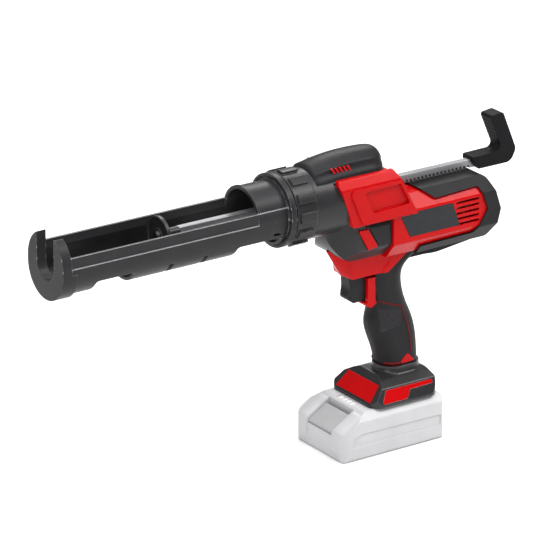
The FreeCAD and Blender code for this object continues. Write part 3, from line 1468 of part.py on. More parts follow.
def build():
    nodes = {}
    nodes["cartridge_holder"] = cartridge_holder()
    nodes["coupling_ring"] = coupling_ring()
    nodes["gear_case"] = gear_case()
    nodes["top_cover"] = top_cover()
    nodes["accent_ribs"] = stripes()
    nodes["rod_guide_front"], nodes["rod_guide_rear"] = rod_guides()
    nodes["bearing_left"], nodes["bearing_right"] = bearings()
    nodes["push_rod"] = push_rod()
    nodes["plunger_disc"] = plunger_disc()
    nodes["plunger_hub"] = plunger_hub()
    nodes["plunger_screw"] = plunger_screw()
    nodes["pull_handle"] = pull_handle()
    nodes["handle_pin"] = handle_pin()
    nodes["drive_shaft"] = drive_shaft()
    nodes["rack_pinion"] = rack_pinion()
    nodes["output_gear"] = output_gear()
    nodes["driver_pinion"] = driver_pinion()
    nodes["gearhead"] = gearhead()
    nodes["motor_can"] = motor_can()
    nodes["motor_rotor"] = motor_rotor()
    red = housing().cut(screw_holes())
    nodes["housing_left"] = keep_half(red, -1)
    nodes["housing_right"] = keep_half(red, 1)
    nodes["name_plate"] = name_plate_block()
    nodes["rear_bumper"] = rear_bumper()
    covers = grip_covers().cut(red)
    nodes["grip_cover_left"] = keep_half(covers, -1)
    nodes["grip_cover_right"] = keep_half(covers, 1)
    nodes["trigger"] = trigger()
    nodes["switch_module"] = switch_module()
    nodes["lock_button"] = lock_button(0.0, 0.0)
    nodes["battery_foot"] = battery_foot()
    nodes["foot_panel"] = foot_panel()
    nodes["foot_inlay_left"] = foot_inlay_block(-1)
    nodes["foot_inlay_right"] = foot_inlay_block(1)
    nodes["control_board"] = control_board()
    nodes["terminal_blades"] = Part.makeCompound(contact_blades(0.0, 7.0))
    pack = battery_case()
    reach = 200.0
    nodes["battery_case_upper"] = pack.common(box(-reach, reach, -reach, reach, PACK_SPLIT_Z, reach))
    nodes["battery_case_lower"] = pack.common(box(-reach, reach, -reach, reach, -1.0, PACK_SPLIT_Z))
    nodes["latch_button"] = latch_button()
    nodes["charge_lamps"] = Part.makeCompound(lamp_blocks())
    nodes["battery_cells"] = Part.makeCompound(battery_cells())
    nodes["battery_board"] = battery_board()
    nodes["housing_screws"] = Part.makeCompound(housing_screws())
    return nodes


def write(nodes):
    os.makedirs("parts", exist_ok=True)
    for name, shape in nodes.items():
        if len(shape.Solids) == 1:
            shape = shape.Solids[0]
        shape.exportStep("parts/" + name + ".step")
        bounds = shape.BoundBox
        print(
            "%-20s solids %2d valid %s volume %9.1f  X %7.1f %7.1f  Y %6.1f %6.1f  Z %6.1f %6.1f"
            % (name, len(shape.Solids), shape.isValid(), shape.Volume, bounds.XMin, bounds.XMax,
               bounds.YMin, bounds.YMax, bounds.ZMin, bounds.ZMax)
        )


write(build())
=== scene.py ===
"""Finishes, trim and studio for a cordless caulking tool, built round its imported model."""

import math

import bpy
from mathutils import Matrix, Vector


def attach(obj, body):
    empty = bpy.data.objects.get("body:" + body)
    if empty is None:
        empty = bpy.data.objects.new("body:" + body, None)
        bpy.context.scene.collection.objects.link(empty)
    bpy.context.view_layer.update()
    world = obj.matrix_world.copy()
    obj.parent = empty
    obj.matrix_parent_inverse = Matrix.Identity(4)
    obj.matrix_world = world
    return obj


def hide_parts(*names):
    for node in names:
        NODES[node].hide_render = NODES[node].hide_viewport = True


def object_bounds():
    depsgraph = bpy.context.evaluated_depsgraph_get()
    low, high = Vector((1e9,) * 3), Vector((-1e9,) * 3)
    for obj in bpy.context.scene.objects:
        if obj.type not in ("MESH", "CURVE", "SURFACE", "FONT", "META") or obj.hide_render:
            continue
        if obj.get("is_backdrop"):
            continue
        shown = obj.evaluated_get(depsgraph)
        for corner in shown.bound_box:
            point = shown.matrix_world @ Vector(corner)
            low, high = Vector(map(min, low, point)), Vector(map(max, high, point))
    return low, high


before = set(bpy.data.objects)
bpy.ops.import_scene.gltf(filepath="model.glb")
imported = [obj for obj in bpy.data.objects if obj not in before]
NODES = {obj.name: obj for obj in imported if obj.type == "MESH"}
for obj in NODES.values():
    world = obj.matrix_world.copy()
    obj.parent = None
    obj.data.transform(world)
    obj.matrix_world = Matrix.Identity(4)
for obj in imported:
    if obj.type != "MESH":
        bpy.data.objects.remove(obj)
CAD_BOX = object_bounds()

bl_info = {
    "name": "Caulking Tool Finish",
    "version": (1, 0, 0),
    "blender": (4, 5, 0),
    "location": "View3D > Sidebar > Caulking Tool",
    "description": "Finishes, grip trim and studio for a cordless caulking tool",
    "category": "Object",
}

# CAD nodes that share a finish, and the two sides of the tool
DARK_NODES = ("top_cover", "trigger")
CASE_NODES = ("gear_case", "coupling_ring")
RED_NODES = ("housing_left", "housing_right", "accent_ribs", "foot_panel", "foot_inlay_left",
             "foot_inlay_right", "lock_button")
RUBBER_NODES = ("rear_bumper", "grip_cover_left", "grip_cover_right")
STEEL_NODES = ("push_rod", "drive_shaft", "rack_pinion", "output_gear", "driver_pinion", "bearing_left",
               "bearing_right", "motor_can", "motor_rotor")
BLACK_STEEL_NODES = ("plunger_screw", "handle_pin", "housing_screws")
PACK_NODES = ("battery_case_upper", "battery_case_lower")
SIDES = ((-1, "left"), (1, "right"))

# Colours that stay as they are, as linear values
ALLOY = (0.50, 0.51, 0.52)
BRASS = (0.70, 0.50, 0.20)
ACETAL = (0.74, 0.72, 0.66)
CELL_SLEEVE = (0.08, 0.22, 0.42)
BOARD_DARK = (0.02, 0.16, 0.07)
BOARD_LIGHT = (0.05, 0.28, 0.12)
LAMP_LENS = (0.80, 0.81, 0.82)
PAPER_DARK = (0.90, 0.90, 0.90)
PAPER_LIGHT = (0.93, 0.93, 0.93)

# Mouldings: scales of their noise, the least factor of the painted edge highlight, how uneven the painted
# highlight on the ledges is, and how far the grain swings the roughness
TONE_SCALE = 38.0
EDGE_LIGHT_SCALE = 240.0
EDGE_LIGHT_START = 1.05
LEDGE_HIGHLIGHT_SCALE = 60.0
LEDGE_HIGHLIGHT_UNEVEN = 0.15
GRAIN_SWING = 0.06

# Rounded edges: samples of their normal, and its cosine to the flat normal where their mask is full and gone
EDGE_SAMPLES = 6
EDGE_FULL = 0.90
EDGE_GONE = 0.995

# Metals: edge radius and depth of the lines, in metres, how the lines change tone and roughness,
# and the noise's scale along X, Y and Z
METAL_EDGE = 0.0003
METAL_LINES = 0.00002
METAL_DARK = 0.72
METAL_LIGHT = 1.18
METAL_SMOOTHER = 0.08
METAL_ROUGHER = 0.10
DRAWN_ALONG = (12.0, 420.0, 420.0)
ROLLED_ALONG = (30.0, 400.0, 400.0)
TUMBLED = (200.0, 200.0, 200.0)
DIE_CAST = (260.0, 260.0, 260.0)

# Tracks of the circuit boards: their scale, where the lacquer changes tone, and their depth in metres
TRACK_SCALE = 220.0
TRACK_START = 0.15
TRACK_END = 0.35
TRACK_DEPTH = 0.00004

# Bore of the cartridge holder, in metres, and how dark its painted shade is
BORE_AXIS = 0.2470
BORE_WAIST = 0.2446
BORE_RADIUS = 0.02585
BORE_FRONT = -0.3429
BORE_PAINTED_SHADE = 0.35

# Heights of the holder's rim and ledge, whose edges get a painted highlight, in metres
LEDGE_HEIGHTS = (0.2580, 0.2475)
LEDGE_REACH = 0.0012

# Places in metres from which the surfaces are looked for:
# Y beside the grip, height over the pack, and X ahead of the pull handle
BESIDE_GRIP = 0.06
OVER_PACK = 0.02
HANDLE_FRONT = 0.1

# Field of diamonds on the grip, in metres, seen from the side:
# its top edge falls and its low edge climbs to the rear
FIELD_FRONT = -0.0045
FIELD_REAR = 0.0158
FIELD_TOP = 0.1306
FIELD_FALL = 0.15
FIELD_LOW = 0.1090
FIELD_CLIMB = 0.21
FIELD_COLUMNS = 10
FIELD_ROWS = 21

# One diamond, as shares of the pitch, the share of its height that the first column has,
# and the columns over which a whole height is gained
DIAMOND_FOOT = 0.41
DIAMOND_TOP = 0.14
DIAMOND_EDGE = 0.04
FADE_START = 0.25
FADE_COLUMNS = 4.5

# Bead round the soft cover, and the corner and band at its foot: places along X and Z, in metres
LINE_PLACES = ((-0.0052, 0.1396), (0.0065, 0.1347), (0.0150, 0.1322), (0.0172, 0.1310),
               (0.0182, 0.1280), (0.0211, 0.1189), (0.0241, 0.1096), (0.0260, 0.0999),
               (0.0272, 0.0904), (0.0273, 0.0845))
LINE_STEP = 0.002
CORNER_PLACES = ((0.0138, 0.0749), (0.0236, 0.0836), (0.0318, 0.0749))
CORNER_ROUND = 0.0008
CORNER_CUTS = 7
CORNER_LIFT = 0.00005
CORNER_THICKNESS = 0.0006
BAND_PLACES = ((0.0028, 0.0757), (0.0165, 0.0757))

# Guard beside the lock button: places along X and Z where it meets the casing, and of its raised face
GUARD_BASE = ((-0.0375, 0.2246), (-0.0060, 0.2238), (-0.0046, 0.2012), (-0.0184, 0.2012),
              (-0.0290, 0.2196), (-0.0330, 0.2209))
GUARD_FACE = ((-0.0284, 0.2206), (-0.0072, 0.2200), (-0.0052, 0.2018), (-0.0179, 0.2018),
              (-0.0281, 0.2194), (-0.0283, 0.2200))
GUARD_BASE_Y = 0.0277
GUARD_FACE_Y = 0.0300

# Section of the top cover's crown, in metres: its flank from the base up,
# then an arc to the peak, in degrees from the upright
CROWN_BASE = 0.2690
CROWN_PEAK = 0.2893
CROWN_HALF = 0.0235
CROWN_FLANK = ((CROWN_HALF, CROWN_BASE), (0.0229, 0.2714), (0.0224, 0.2732), (0.0220, 0.2740),
               (0.0218, 0.2743), (0.0206, 0.2758), (0.0193, 0.2776), (0.01875, 0.2790),
               (0.0182, 0.2806), (0.0180, 0.2812), (0.01795, 0.2815), (0.0176, 0.2824),
               (0.0171, 0.2830))
CROWN_ARC = 0.0260
ARC_START = 38
ARC_STEP = 4

# Strip sunk into the crown's flank: first and last of the flank's places, and its ends along X, in metres
STRIP_FIRST = 4
STRIP_LAST = 9
STRIP_FRONT = -0.0776
STRIP_REAR = -0.0104
STRIP_EDGE = 0.0003
STRIP_STEPS = 22

# Length of the crown, in metres: its ends, its highest place, how fast it falls ahead of that and behind it,
# and the roundings of its top line and of its outline seen from above
CROWN_FRONT = -0.0830
CROWN_REAR = -0.0010
CROWN_TOP_X = -0.0360
FRONT_BOW = 3.3
REAR_BOW = 1.4
FRONT_ROUND = 0.0045
FRONT_STEPS = 10
REAR_ROUND = 0.0100
REAR_STEPS = 12
NOSE_ROUND = 0.0050
TAIL_ROUND = 0.0200
CROWN_SMOOTH = math.radians(24.0)

# Rim beside the pack's latch, in metres: places along X and Z down the front, and heights across Y
PACK_RIM_ROUTE = ((-0.0385, 0.0419), (-0.0611, 0.0282), (-0.0624, 0.0270), (-0.0630, 0.0247),
                  (-0.0630, 0.0055))
PACK_RIM_STEP = 0.0012
PACK_RIM_PROFILE = ((0.0203, -0.0008), (0.0205, 0.0002), (0.0210, 0.0008), (0.0219, 0.0011),
                    (0.0250, 0.0011), (0.0285, 0.0010), (0.0312, 0.0006), (0.0332, 0.0001),
                    (0.0350, -0.0004), (0.0364, -0.0008))
PACK_RIM_FADE = 0.0040
PACK_RIM_THICKNESS = 0.001
PACK_RIM_SMOOTH = math.radians(40.0)

# Ribs across the front of the pull handle: heights and length, in metres, and sides of a rib
RIB_LOW = 0.2640
RIB_PITCH = 0.0042
RIB_LENGTH = 0.0125
RIB_SIDES = 16
RIBS = 6

# Camera's sensor in millimetres and its far limit in metres, and the noise and roughness of the floor's paper
SENSOR_WIDTH = 36.0
FAR_CLIP = 100.0
PAPER_SCALE = 3.0
PAPER_ROUGHNESS = 0.9

# Slack for comparing places and for merging doubles, in metres,
# and the width of a new grid, whose places run from -1 to 1
CLOSE = 0.00001
DOUBLES = 0.000001
GRID_WIDTH = 2.0


class CaulkingColours(bpy.types.PropertyGroup):
    """Colours of the finishes, as linear values."""

    red: bpy.props.FloatVectorProperty(
        name="Red", description="Satin red of the housing halves", subtype="COLOR",
        default=(0.42, 0.0016, 0.0026))
    charcoal: bpy.props.FloatVectorProperty(
        name="Charcoal", description="Grained charcoal of the dark mouldings", subtype="COLOR",
        default=(0.0185, 0.0178, 0.0192))
    rubber: bpy.props.FloatVectorProperty(
        name="Rubber", description="Matte soft covers of grip and rear", subtype="COLOR",
        default=(0.0145, 0.0137, 0.0150))
    plunger: bpy.props.FloatVectorProperty(
        name="Plunger", description="Black plunger disc and hub", subtype="COLOR",
        default=(0.012, 0.012, 0.013))
    steel: bpy.props.FloatVectorProperty(
        name="Steel", description="Bright drawn steel of the toothed rod", subtype="COLOR",
        default=(0.25, 0.25, 0.26))
    black_steel: bpy.props.FloatVectorProperty(
        name="Black steel", description="Blackened screws and pins", subtype="COLOR",
        default=(0.055, 0.054, 0.053))
    slate: bpy.props.FloatVectorProperty(
        name="Slate", description="Bare plate on the motor barrel", subtype="COLOR",
        default=(0.0195, 0.0205, 0.0228))
    pack: bpy.props.FloatVectorProperty(
        name="Pack grey", description="Pale grey of the battery pack", subtype="COLOR",
        default=(0.47, 0.47, 0.48))
    # Colour of the painted highlight on the holder's rim and ledge edges
    rim: bpy.props.FloatVectorProperty(
        name="Rim", description="Painted highlight on the holder's rim and ledge edges", subtype="COLOR",
        default=(0.42, 0.42, 0.43))
    line: bpy.props.FloatVectorProperty(
        name="Grip line", description="Dark red line round the grip's soft cover", subtype="COLOR",
        default=(0.10, 0.0045, 0.0065))


class CaulkingSizes(bpy.types.PropertyGroup):
    """Sizes of the surface detail."""

    edge_round: bpy.props.FloatProperty(
        name="Edge rounding", description="Radius that softens the moulded edges", unit="LENGTH",
        default=0.0007)
    diamond_pitch: bpy.props.FloatProperty(
        name="Diamond pitch", description="Distance between the diamonds on the grip", unit="LENGTH",
        default=0.0023)
    diamond_height: bpy.props.FloatProperty(
        name="Diamond height", description="How far a diamond stands out", unit="LENGTH",
        default=0.0009)
    line_radius: bpy.props.FloatProperty(
        name="Grip line radius", description="Radius of the bead round the grip's side", unit="LENGTH",
        default=0.0007)
    band_radius: bpy.props.FloatProperty(
        name="Grip band radius", description="Radius of the bead at the grip's foot", unit="LENGTH",
        default=0.0013)
    strip_depth: bpy.props.FloatProperty(
        name="Strip depth", description="How deep the strip along the top cover is sunk", unit="LENGTH",
        default=0.0007)
    guard_edge: bpy.props.FloatProperty(
        name="Guard edge", description="Rounding of the lock button's guard", unit="LENGTH",
        default=0.0004)
    rib_height: bpy.props.FloatProperty(
        name="Rib height", description="How far the pull handle's ribs stand out", unit="LENGTH",
        default=0.0003)


class CaulkingStage(bpy.types.PropertyGroup):
    """Camera and light of the studio."""

    camera_place: bpy.props.FloatVectorProperty(
        name="Camera place", description="Where the camera stands", subtype="TRANSLATION", unit="LENGTH",
        default=(-2.1916, -3.0403, 1.6040))
    camera_turn: bpy.props.FloatProperty(
        name="Camera turn", description="Turn of the camera about the upright axis", subtype="ANGLE",
        default=math.radians(-34.3))
    camera_drop: bpy.props.FloatProperty(
        name="Camera drop", description="How far the camera looks down", subtype="ANGLE",
        default=math.radians(21.0))
    focal_length: bpy.props.FloatProperty(
        name="Focal length", description="Lens on a 36 mm wide sensor", unit="CAMERA", default=293.3)
    key_power: bpy.props.FloatProperty(
        name="Key power", description="Power of the wide overhead softbox", unit="POWER",
        default=150.0)
    side_power: bpy.props.FloatProperty(
        name="Side power", description="Power of the softbox to the right of the camera", unit="POWER",
        default=28.0)
    fill_power: bpy.props.FloatProperty(
        name="Fill power", description="Power of the softbox to the left of the camera", unit="POWER",
        default=14.0)
    rim_power: bpy.props.FloatProperty(
        name="Rim power", description="Power of the softbox behind the tool", unit="POWER",
        default=14.0)
    sky: bpy.props.FloatProperty(
        name="Room light", description="Strength of the even room light", default=0.30)
    floor_size: bpy.props.FloatProperty(
        name="Floor size", description="Width of the pale floor", unit="LENGTH",
        default=24.0)


def colours():
    """The scene's colours, as the user has set them."""
    return bpy.context.scene.caulking_colours


def sizes():
    """The scene's sizes, as the user has set them."""
    return bpy.context.scene.caulking_sizes


class Finish:
    """A principled material whose nodes are added step by step."""

    def __init__(self, name):
        self.material = bpy.data.materials.new(name)
        self.material.use_nodes = True
        self.tree = self.material.node_tree
        self.tree.nodes.clear()
        self.shader = self.add("ShaderNodeBsdfPrincipled")
        output = self.add("ShaderNodeOutputMaterial")
        self.link(self.shader.outputs["BSDF"], output.inputs["Surface"])
        self.place = self.add("ShaderNodeTexCoord").outputs["Object"]
        self.edges = None

    def add(self, kind):
        """A new node of a kind."""
        return self.tree.nodes.new(kind)

    def link(self, source, target):
        """Joins an output to an input."""
        self.tree.links.new(source, target)

    def feed(self, name, source):
        """Joins a source to one of the shader's own sockets."""
        self.link(source, self.shader.inputs[name])

    def noise(self, scale, detail=3.0, stretch=None):
        """Noise over the object's own coordinates, drawn out along an axis where stretch says so."""
        texture = self.add("ShaderNodeTexNoise")
        texture.inputs["Scale"].default_value = scale
        texture.inputs["Detail"].default_value = detail
        place = self.place
        if stretch:
            mapping = self.add("ShaderNodeMapping")
            mapping.inputs["Scale"].default_value = stretch
            self.link(place, mapping.inputs["Vector"])
            place = mapping.outputs["Vector"]
        self.link(place, texture.inputs["Vector"])
        return texture.outputs["Fac"]

    def ramp(self, source, low, high, from_value=0.3, to_value=0.7):
        """Colours between low and high, as the source goes from one value to the other."""
        node = self.add("ShaderNodeValToRGB")
        first, last = node.color_ramp.elements
        first.position = from_value
        last.position = to_value
        first.color = (*low, 1.0)
        last.color = (*high, 1.0)
        self.link(source, node.inputs["Fac"])
        return node.outputs["Color"]

    def spread(self, source, low, high, from_value=0.3, to_value=0.7):
        """A number between low and high, as the source goes from one value to the other."""
        node = self.add("ShaderNodeMapRange")
        node.inputs["From Min"].default_value = from_value
        node.inputs["From Max"].default_value = to_value
        node.inputs["To Min"].default_value = low
        node.inputs["To Max"].default_value = high
        self.link(source, node.inputs["Value"])
        return node.outputs["Result"]

    def mix(self, share, first, second):
        """The first colour, with the second one over it by a share."""
        node = self.add("ShaderNodeMix")
        node.data_type = "RGBA"
        self.link(share, node.inputs["Factor"])
        self.link(first, node.inputs["A"])
        self.link(second, node.inputs["B"])
        return node.outputs["Result"]

    def soft_edges(self, radius):
        """Normal that rounds the edges. The mask of where they are is kept in self.edges."""
        bevel = self.add("ShaderNodeBevel")
        bevel.samples = EDGE_SAMPLES
        bevel.inputs["Radius"].default_value = radius
        faces = self.add("ShaderNodeNewGeometry")
        compare = self.add("ShaderNodeVectorMath")
        compare.operation = "DOT_PRODUCT"
        self.link(bevel.outputs["Normal"], compare.inputs[0])
        self.link(faces.outputs["Normal"], compare.inputs[1])
        self.edges = self.spread(compare.outputs["Value"], 1.0, 0.0, EDGE_FULL, EDGE_GONE)
        return bevel.outputs["Normal"]

    def calculate(self, operation, first, second):
        """A sum on a socket and either a number or a second socket."""
        node = self.add("ShaderNodeMath")
        node.operation = operation
        self.link(first, node.inputs[0])
        if isinstance(second, float):
            node.inputs[1].default_value = second
        else:
            self.link(second, node.inputs[1])
        return node.outputs["Value"]

    def axes(self):
        """X, Y and Z of the place, each by itself."""
        parts = self.add("ShaderNodeSeparateXYZ")
        self.link(self.place, parts.inputs["Vector"])
        return parts.outputs

    def inside_holder(self):
        """Mask of the holder's bore, where shade is painted: round above its axis and below the waist,
        straight between them.
        """
        axes = self.axes()
        below = self.calculate("MINIMUM", self.calculate("SUBTRACT", axes["Z"], BORE_WAIST), 0.0)
        above = self.calculate("MAXIMUM", self.calculate("SUBTRACT", axes["Z"], BORE_AXIS), 0.0)
        up = self.calculate("POWER", self.calculate("ADD", below, above), 2.0)
        across = self.calculate("POWER", axes["Y"], 2.0)
        within = self.calculate("LESS_THAN", self.calculate("ADD", across, up), BORE_RADIUS ** 2)
        behind_cap = self.calculate("GREATER_THAN", axes["X"], BORE_FRONT)
        return self.calculate("MULTIPLY", within, behind_cap)

    def near_height(self, height, reach):
        """Mask of a narrow stretch along Z."""
        away = self.calculate("SUBTRACT", self.axes()["Z"], height)
        return self.calculate("LESS_THAN", self.calculate("POWER", away, 2.0), reach ** 2)

    def ledge_highlight_mask(self):
        """Mask of the edges at the heights of the holder's rim and ledge, where a highlight is painted."""
        rim, ledge = [self.near_height(height, LEDGE_REACH) for height in LEDGE_HEIGHTS]
        return self.calculate("MULTIPLY", self.edges, self.calculate("ADD", rim, ledge))

    def base_colour(self):
        """What the shader's base colour comes from so far."""
        return self.shader.inputs["Base Color"].links[0].from_socket

    def paint_highlight(self, mask, colour):
        """Paints a highlight colour, slightly uneven, where the mask says so."""
        uneven = self.noise(LEDGE_HIGHLIGHT_SCALE, 2.0)
        light = self.ramp(uneven, shade(colour, 1.0 - LEDGE_HIGHLIGHT_UNEVEN), shade(colour, 1.0 + LEDGE_HIGHLIGHT_UNEVEN))
        self.feed("Base Color", self.mix(mask, self.base_colour(), light))

    def paint_shade(self, mask, factor):
        """Paints shade: makes the base colour darker by a factor where the mask says so."""
        node = self.add("ShaderNodeHueSaturation")
        node.inputs["Value"].default_value = factor
        self.link(self.base_colour(), node.inputs["Color"])
        self.link(mask, node.inputs["Fac"])
        self.feed("Base Color", node.outputs["Color"])

    def bump(self, height, depth, normal=None):
        """Relief of a depth in metres, over the plain normal or another one."""
        node = self.add("ShaderNodeBump")
        node.inputs["Distance"].default_value = depth
        node.inputs["Strength"].default_value = 1.0
        self.link(height, node.inputs["Height"])
        if normal is not None:
            self.link(normal, node.inputs["Normal"])
        self.feed("Normal", node.outputs["Normal"])


def shade(colour, factor):
    """The colour made lighter or darker by a factor."""
    return tuple(min(1.0, channel * factor) for channel in colour)


def moulded(name, colour, roughness, grain=2200.0, depth=0.00003, painted_edge_light=1.5, radius=None, uneven=0.12,
            gloss=0.5):
    """Moulded plastic: fine spark-eroded grain, slight tone changes, and edges painted to another tone in
    patches as a highlight, darker where the factor is below one.
    """
    finish = Finish(name)
    finish.shader.inputs["Specular IOR Level"].default_value = gloss
    tone = finish.noise(TONE_SCALE, 4.0)
    body = finish.ramp(tone, shade(colour, 1.0 - uneven), shade(colour, 1.0 + uneven))
    normal = finish.soft_edges(radius or sizes().edge_round)
    edge_patches = finish.noise(EDGE_LIGHT_SCALE, 4.0)
    # Edges painted lighter in patches as a painted highlight; a factor below one paints them darker
    painted_light = finish.ramp(edge_patches, shade(colour, EDGE_LIGHT_START), shade(colour, painted_edge_light))
    finish.feed("Base Color", finish.mix(finish.edges, body, painted_light))
    fine = finish.noise(grain, 2.0)
    finish.feed("Roughness", finish.spread(fine, roughness - GRAIN_SWING, roughness + GRAIN_SWING))
    finish.bump(fine, depth, normal)
    return finish


def drawn_metal(name, colour, roughness, stretch, bare=1.0):
    """Metal with fine lines along the way that it was drawn. Bare is the share of metal that shows."""
    finish = Finish(name)
    lines = finish.noise(1.0, 4.0, stretch)
    finish.feed("Base Color", finish.ramp(lines, shade(colour, METAL_DARK), shade(colour, METAL_LIGHT)))
    finish.feed("Roughness", finish.spread(lines, roughness - METAL_SMOOTHER, roughness + METAL_ROUGHER))
    finish.shader.inputs["Metallic"].default_value = bare
    finish.bump(lines, METAL_LINES, finish.soft_edges(METAL_EDGE))
    return finish.material


def paint(names, material):
    """Puts one material on each of the named CAD nodes."""
    for name in names:
        mesh = NODES[name].data
        mesh.materials.clear()
        mesh.materials.append(material)


class CAULKING_OT_dark_mouldings(bpy.types.Operator):
    """Dark plastics: holder, ring, gear case, cover, trigger, foot, plunger, handle, switch and plate"""

    bl_idname = "caulking.dark_mouldings"
    bl_label = "Dark mouldings"

    def execute(self, context):
        charcoal = colours().charcoal
        cover = moulded("charcoal_moulding", charcoal, 0.38, painted_edge_light=3.6, radius=0.0009, gloss=0.09)
        paint(DARK_NODES, cover.material)
        case = moulded("case_moulding", charcoal, 0.33, painted_edge_light=5.0, radius=0.0010, gloss=0.22)
        paint(CASE_NODES, case.material)
        foot = moulded("foot_moulding", charcoal, 0.27, painted_edge_light=7.0, radius=0.0010, gloss=0.34)
        paint(("battery_foot",), foot.material)
        holder = moulded("holder_moulding", shade(charcoal, 1.15), 0.36, painted_edge_light=7.0, radius=0.0009,
                         gloss=0.14)
        # Painted shade inside the holder's bore
        holder.paint_shade(holder.inside_holder(), BORE_PAINTED_SHADE)
        # Painted highlight along the edges of the holder's rim and ledge
        holder.paint_highlight(holder.ledge_highlight_mask(), colours().rim)
        paint(("cartridge_holder",), holder.material)
        plunger = moulded("black_plunger", colours().plunger, 0.36, painted_edge_light=9.0, gloss=0.3)
        paint(("plunger_disc", "plunger_hub"), plunger.material)
        handle = moulded("black_handle", colours().plunger, 0.36, painted_edge_light=1.4, radius=0.0012, gloss=0.02)
        paint(("pull_handle",), handle.material)
        switch = moulded("black_switch", charcoal, 0.5)
        paint(("switch_module",), switch.material)
        # The plate's edges are painted darker, a dark line round the plate
        plate = moulded("slate_plate", colours().slate, 0.38, grain=3000.0, depth=0.00001, painted_edge_light=0.15,
                        radius=0.0014, gloss=0.15)
        paint(("name_plate",), plate.material)
        return {"FINISHED"}


class CAULKING_OT_red_mouldings(bpy.types.Operator):
    """Satin red plastic on the housing halves, ribs, lock button and foot trim"""

    bl_idname = "caulking.red_mouldings"
    bl_label = "Red mouldings"

    def execute(self, context):
        red = moulded("red_moulding", colours().red, 0.25, depth=0.00002, painted_edge_light=1.4, uneven=0.06,
                      gloss=0.1)
        paint(RED_NODES, red.material)
        return {"FINISHED"}


class CAULKING_OT_soft_covers(bpy.types.Operator):
    """Matte rubber on the grip covers and the rear bumper"""

    bl_idname = "caulking.soft_covers"
    bl_label = "Soft covers"

    def execute(self, context):
        rubber = moulded("soft_rubber", colours().rubber, 0.52, grain=1500.0, depth=0.00005, painted_edge_light=2.6,
                         gloss=0.12)
        paint(RUBBER_NODES, rubber.material)
        return {"FINISHED"}


class CAULKING_OT_metal_pieces(bpy.types.Operator):
    """Steel on the rod, drive and motor, black screws and pins, die-cast gearhead and brass contacts"""

    bl_idname = "caulking.metal_pieces"
    bl_label = "Metal pieces"

    def execute(self, context):
        steel = drawn_metal("drawn_steel", colours().steel, 0.34, DRAWN_ALONG, bare=0.45)
        paint(STEEL_NODES, steel)
        black_steel = drawn_metal("blackened_steel", colours().black_steel, 0.42, TUMBLED)
        paint(BLACK_STEEL_NODES, black_steel)
        alloy = drawn_metal("cast_alloy", ALLOY, 0.48, DIE_CAST)
        paint(("gearhead",), alloy)
        brass = drawn_metal("contact_brass", BRASS, 0.28, ROLLED_ALONG)
        paint(("terminal_blades",), brass)
        return {"FINISHED"}


class CAULKING_OT_inner_pieces(bpy.types.Operator):
    """Acetal guides, sleeved cells and circuit boards inside the tool"""

    bl_idname = "caulking.inner_pieces"
    bl_label = "Inner pieces"

    def execute(self, context):
        acetal = moulded("natural_acetal", ACETAL, 0.34, painted_edge_light=1.1, uneven=0.04)
        paint(("rod_guide_front", "rod_guide_rear"), acetal.material)
        sleeve = moulded("cell_sleeve", CELL_SLEEVE, 0.30, painted_edge_light=1.2)
        paint(("battery_cells",), sleeve.material)
        paint(("battery_board", "control_board"), self.board())
        return {"FINISHED"}

    def board(self):
        """Green lacquer over square-cornered tracks."""
        finish = Finish("circuit_board")
        tracks = finish.add("ShaderNodeTexVoronoi")
        tracks.distance = "MANHATTAN"
        tracks.inputs["Scale"].default_value = TRACK_SCALE
        finish.link(finish.place, tracks.inputs["Vector"])
        away = tracks.outputs["Distance"]
        finish.feed("Base Color", finish.ramp(away, BOARD_DARK, BOARD_LIGHT, TRACK_START, TRACK_END))
        finish.shader.inputs["Roughness"].default_value = 0.3
        finish.bump(away, TRACK_DEPTH)
        return finish.material


class CAULKING_OT_battery_finish(bpy.types.Operator):
    """Pale grey plastic on the battery pack, and milky charge lamps"""

    bl_idname = "caulking.battery_finish"
    bl_label = "Battery finish"

    def execute(self, context):
        pale = moulded("pale_pack", colours().pack, 0.46, depth=0.00002, painted_edge_light=1.25, uneven=0.05)
        paint(PACK_NODES, pale.material)
        button = moulded("grey_button", shade(colours().pack, 0.72), 0.46, depth=0.00002, painted_edge_light=1.4,
                         uneven=0.05)
        paint(("latch_button",), button.material)
        lens = moulded("lamp_lens", LAMP_LENS, 0.22, depth=0.00001, painted_edge_light=1.1, uneven=0.03)
        lens.shader.inputs["Subsurface Weight"].default_value = 0.3
        lens.shader.inputs["Subsurface Radius"].default_value = (0.002, 0.002, 0.002)
        paint(("charge_lamps",), lens.material)
        return {"FINISHED"}


def on_cover(side, x, z):
    """Point and outward direction of the grip cover's surface at a place seen from that side."""
    cover = NODES["grip_cover_left"] if side < 0 else NODES["grip_cover_right"]
    start = Vector((x, side * BESIDE_GRIP, z))
    found, place, normal = cover.ray_cast(start, Vector((0.0, -side, 0.0)))[:3]
    if not found:
        raise RuntimeError("no grip cover at x %.4f, z %.4f" % (x, z))
    if normal.y * side < 0.0:
        normal.negate()
    return place, normal


def close_steps(places, step):
    """The same route with places no further apart than a step."""
    close = [places[0]]
    for (x0, z0), (x1, z1) in zip(places, places[1:]):
        count = math.ceil(math.hypot(x1 - x0, z1 - z0) / step)
        for i in range(1, count + 1):
            close.append((x0 + (x1 - x0) * i / count, z0 + (z1 - z0) * i / count))
    return close


def grid_line(position, steps):
    """Which line of a new grid a place between -1 and 1 lies on, counted from its low edge."""
    return round((position + 1.0) / GRID_WIDTH * steps)


def face_outwards():
    """Turns the faces of the active piece outwards."""
    bpy.ops.object.mode_set(mode="EDIT")
    bpy.ops.mesh.select_all(action="SELECT")
    bpy.ops.mesh.normals_make_consistent(inside=False)
    bpy.ops.object.mode_set(mode="OBJECT")


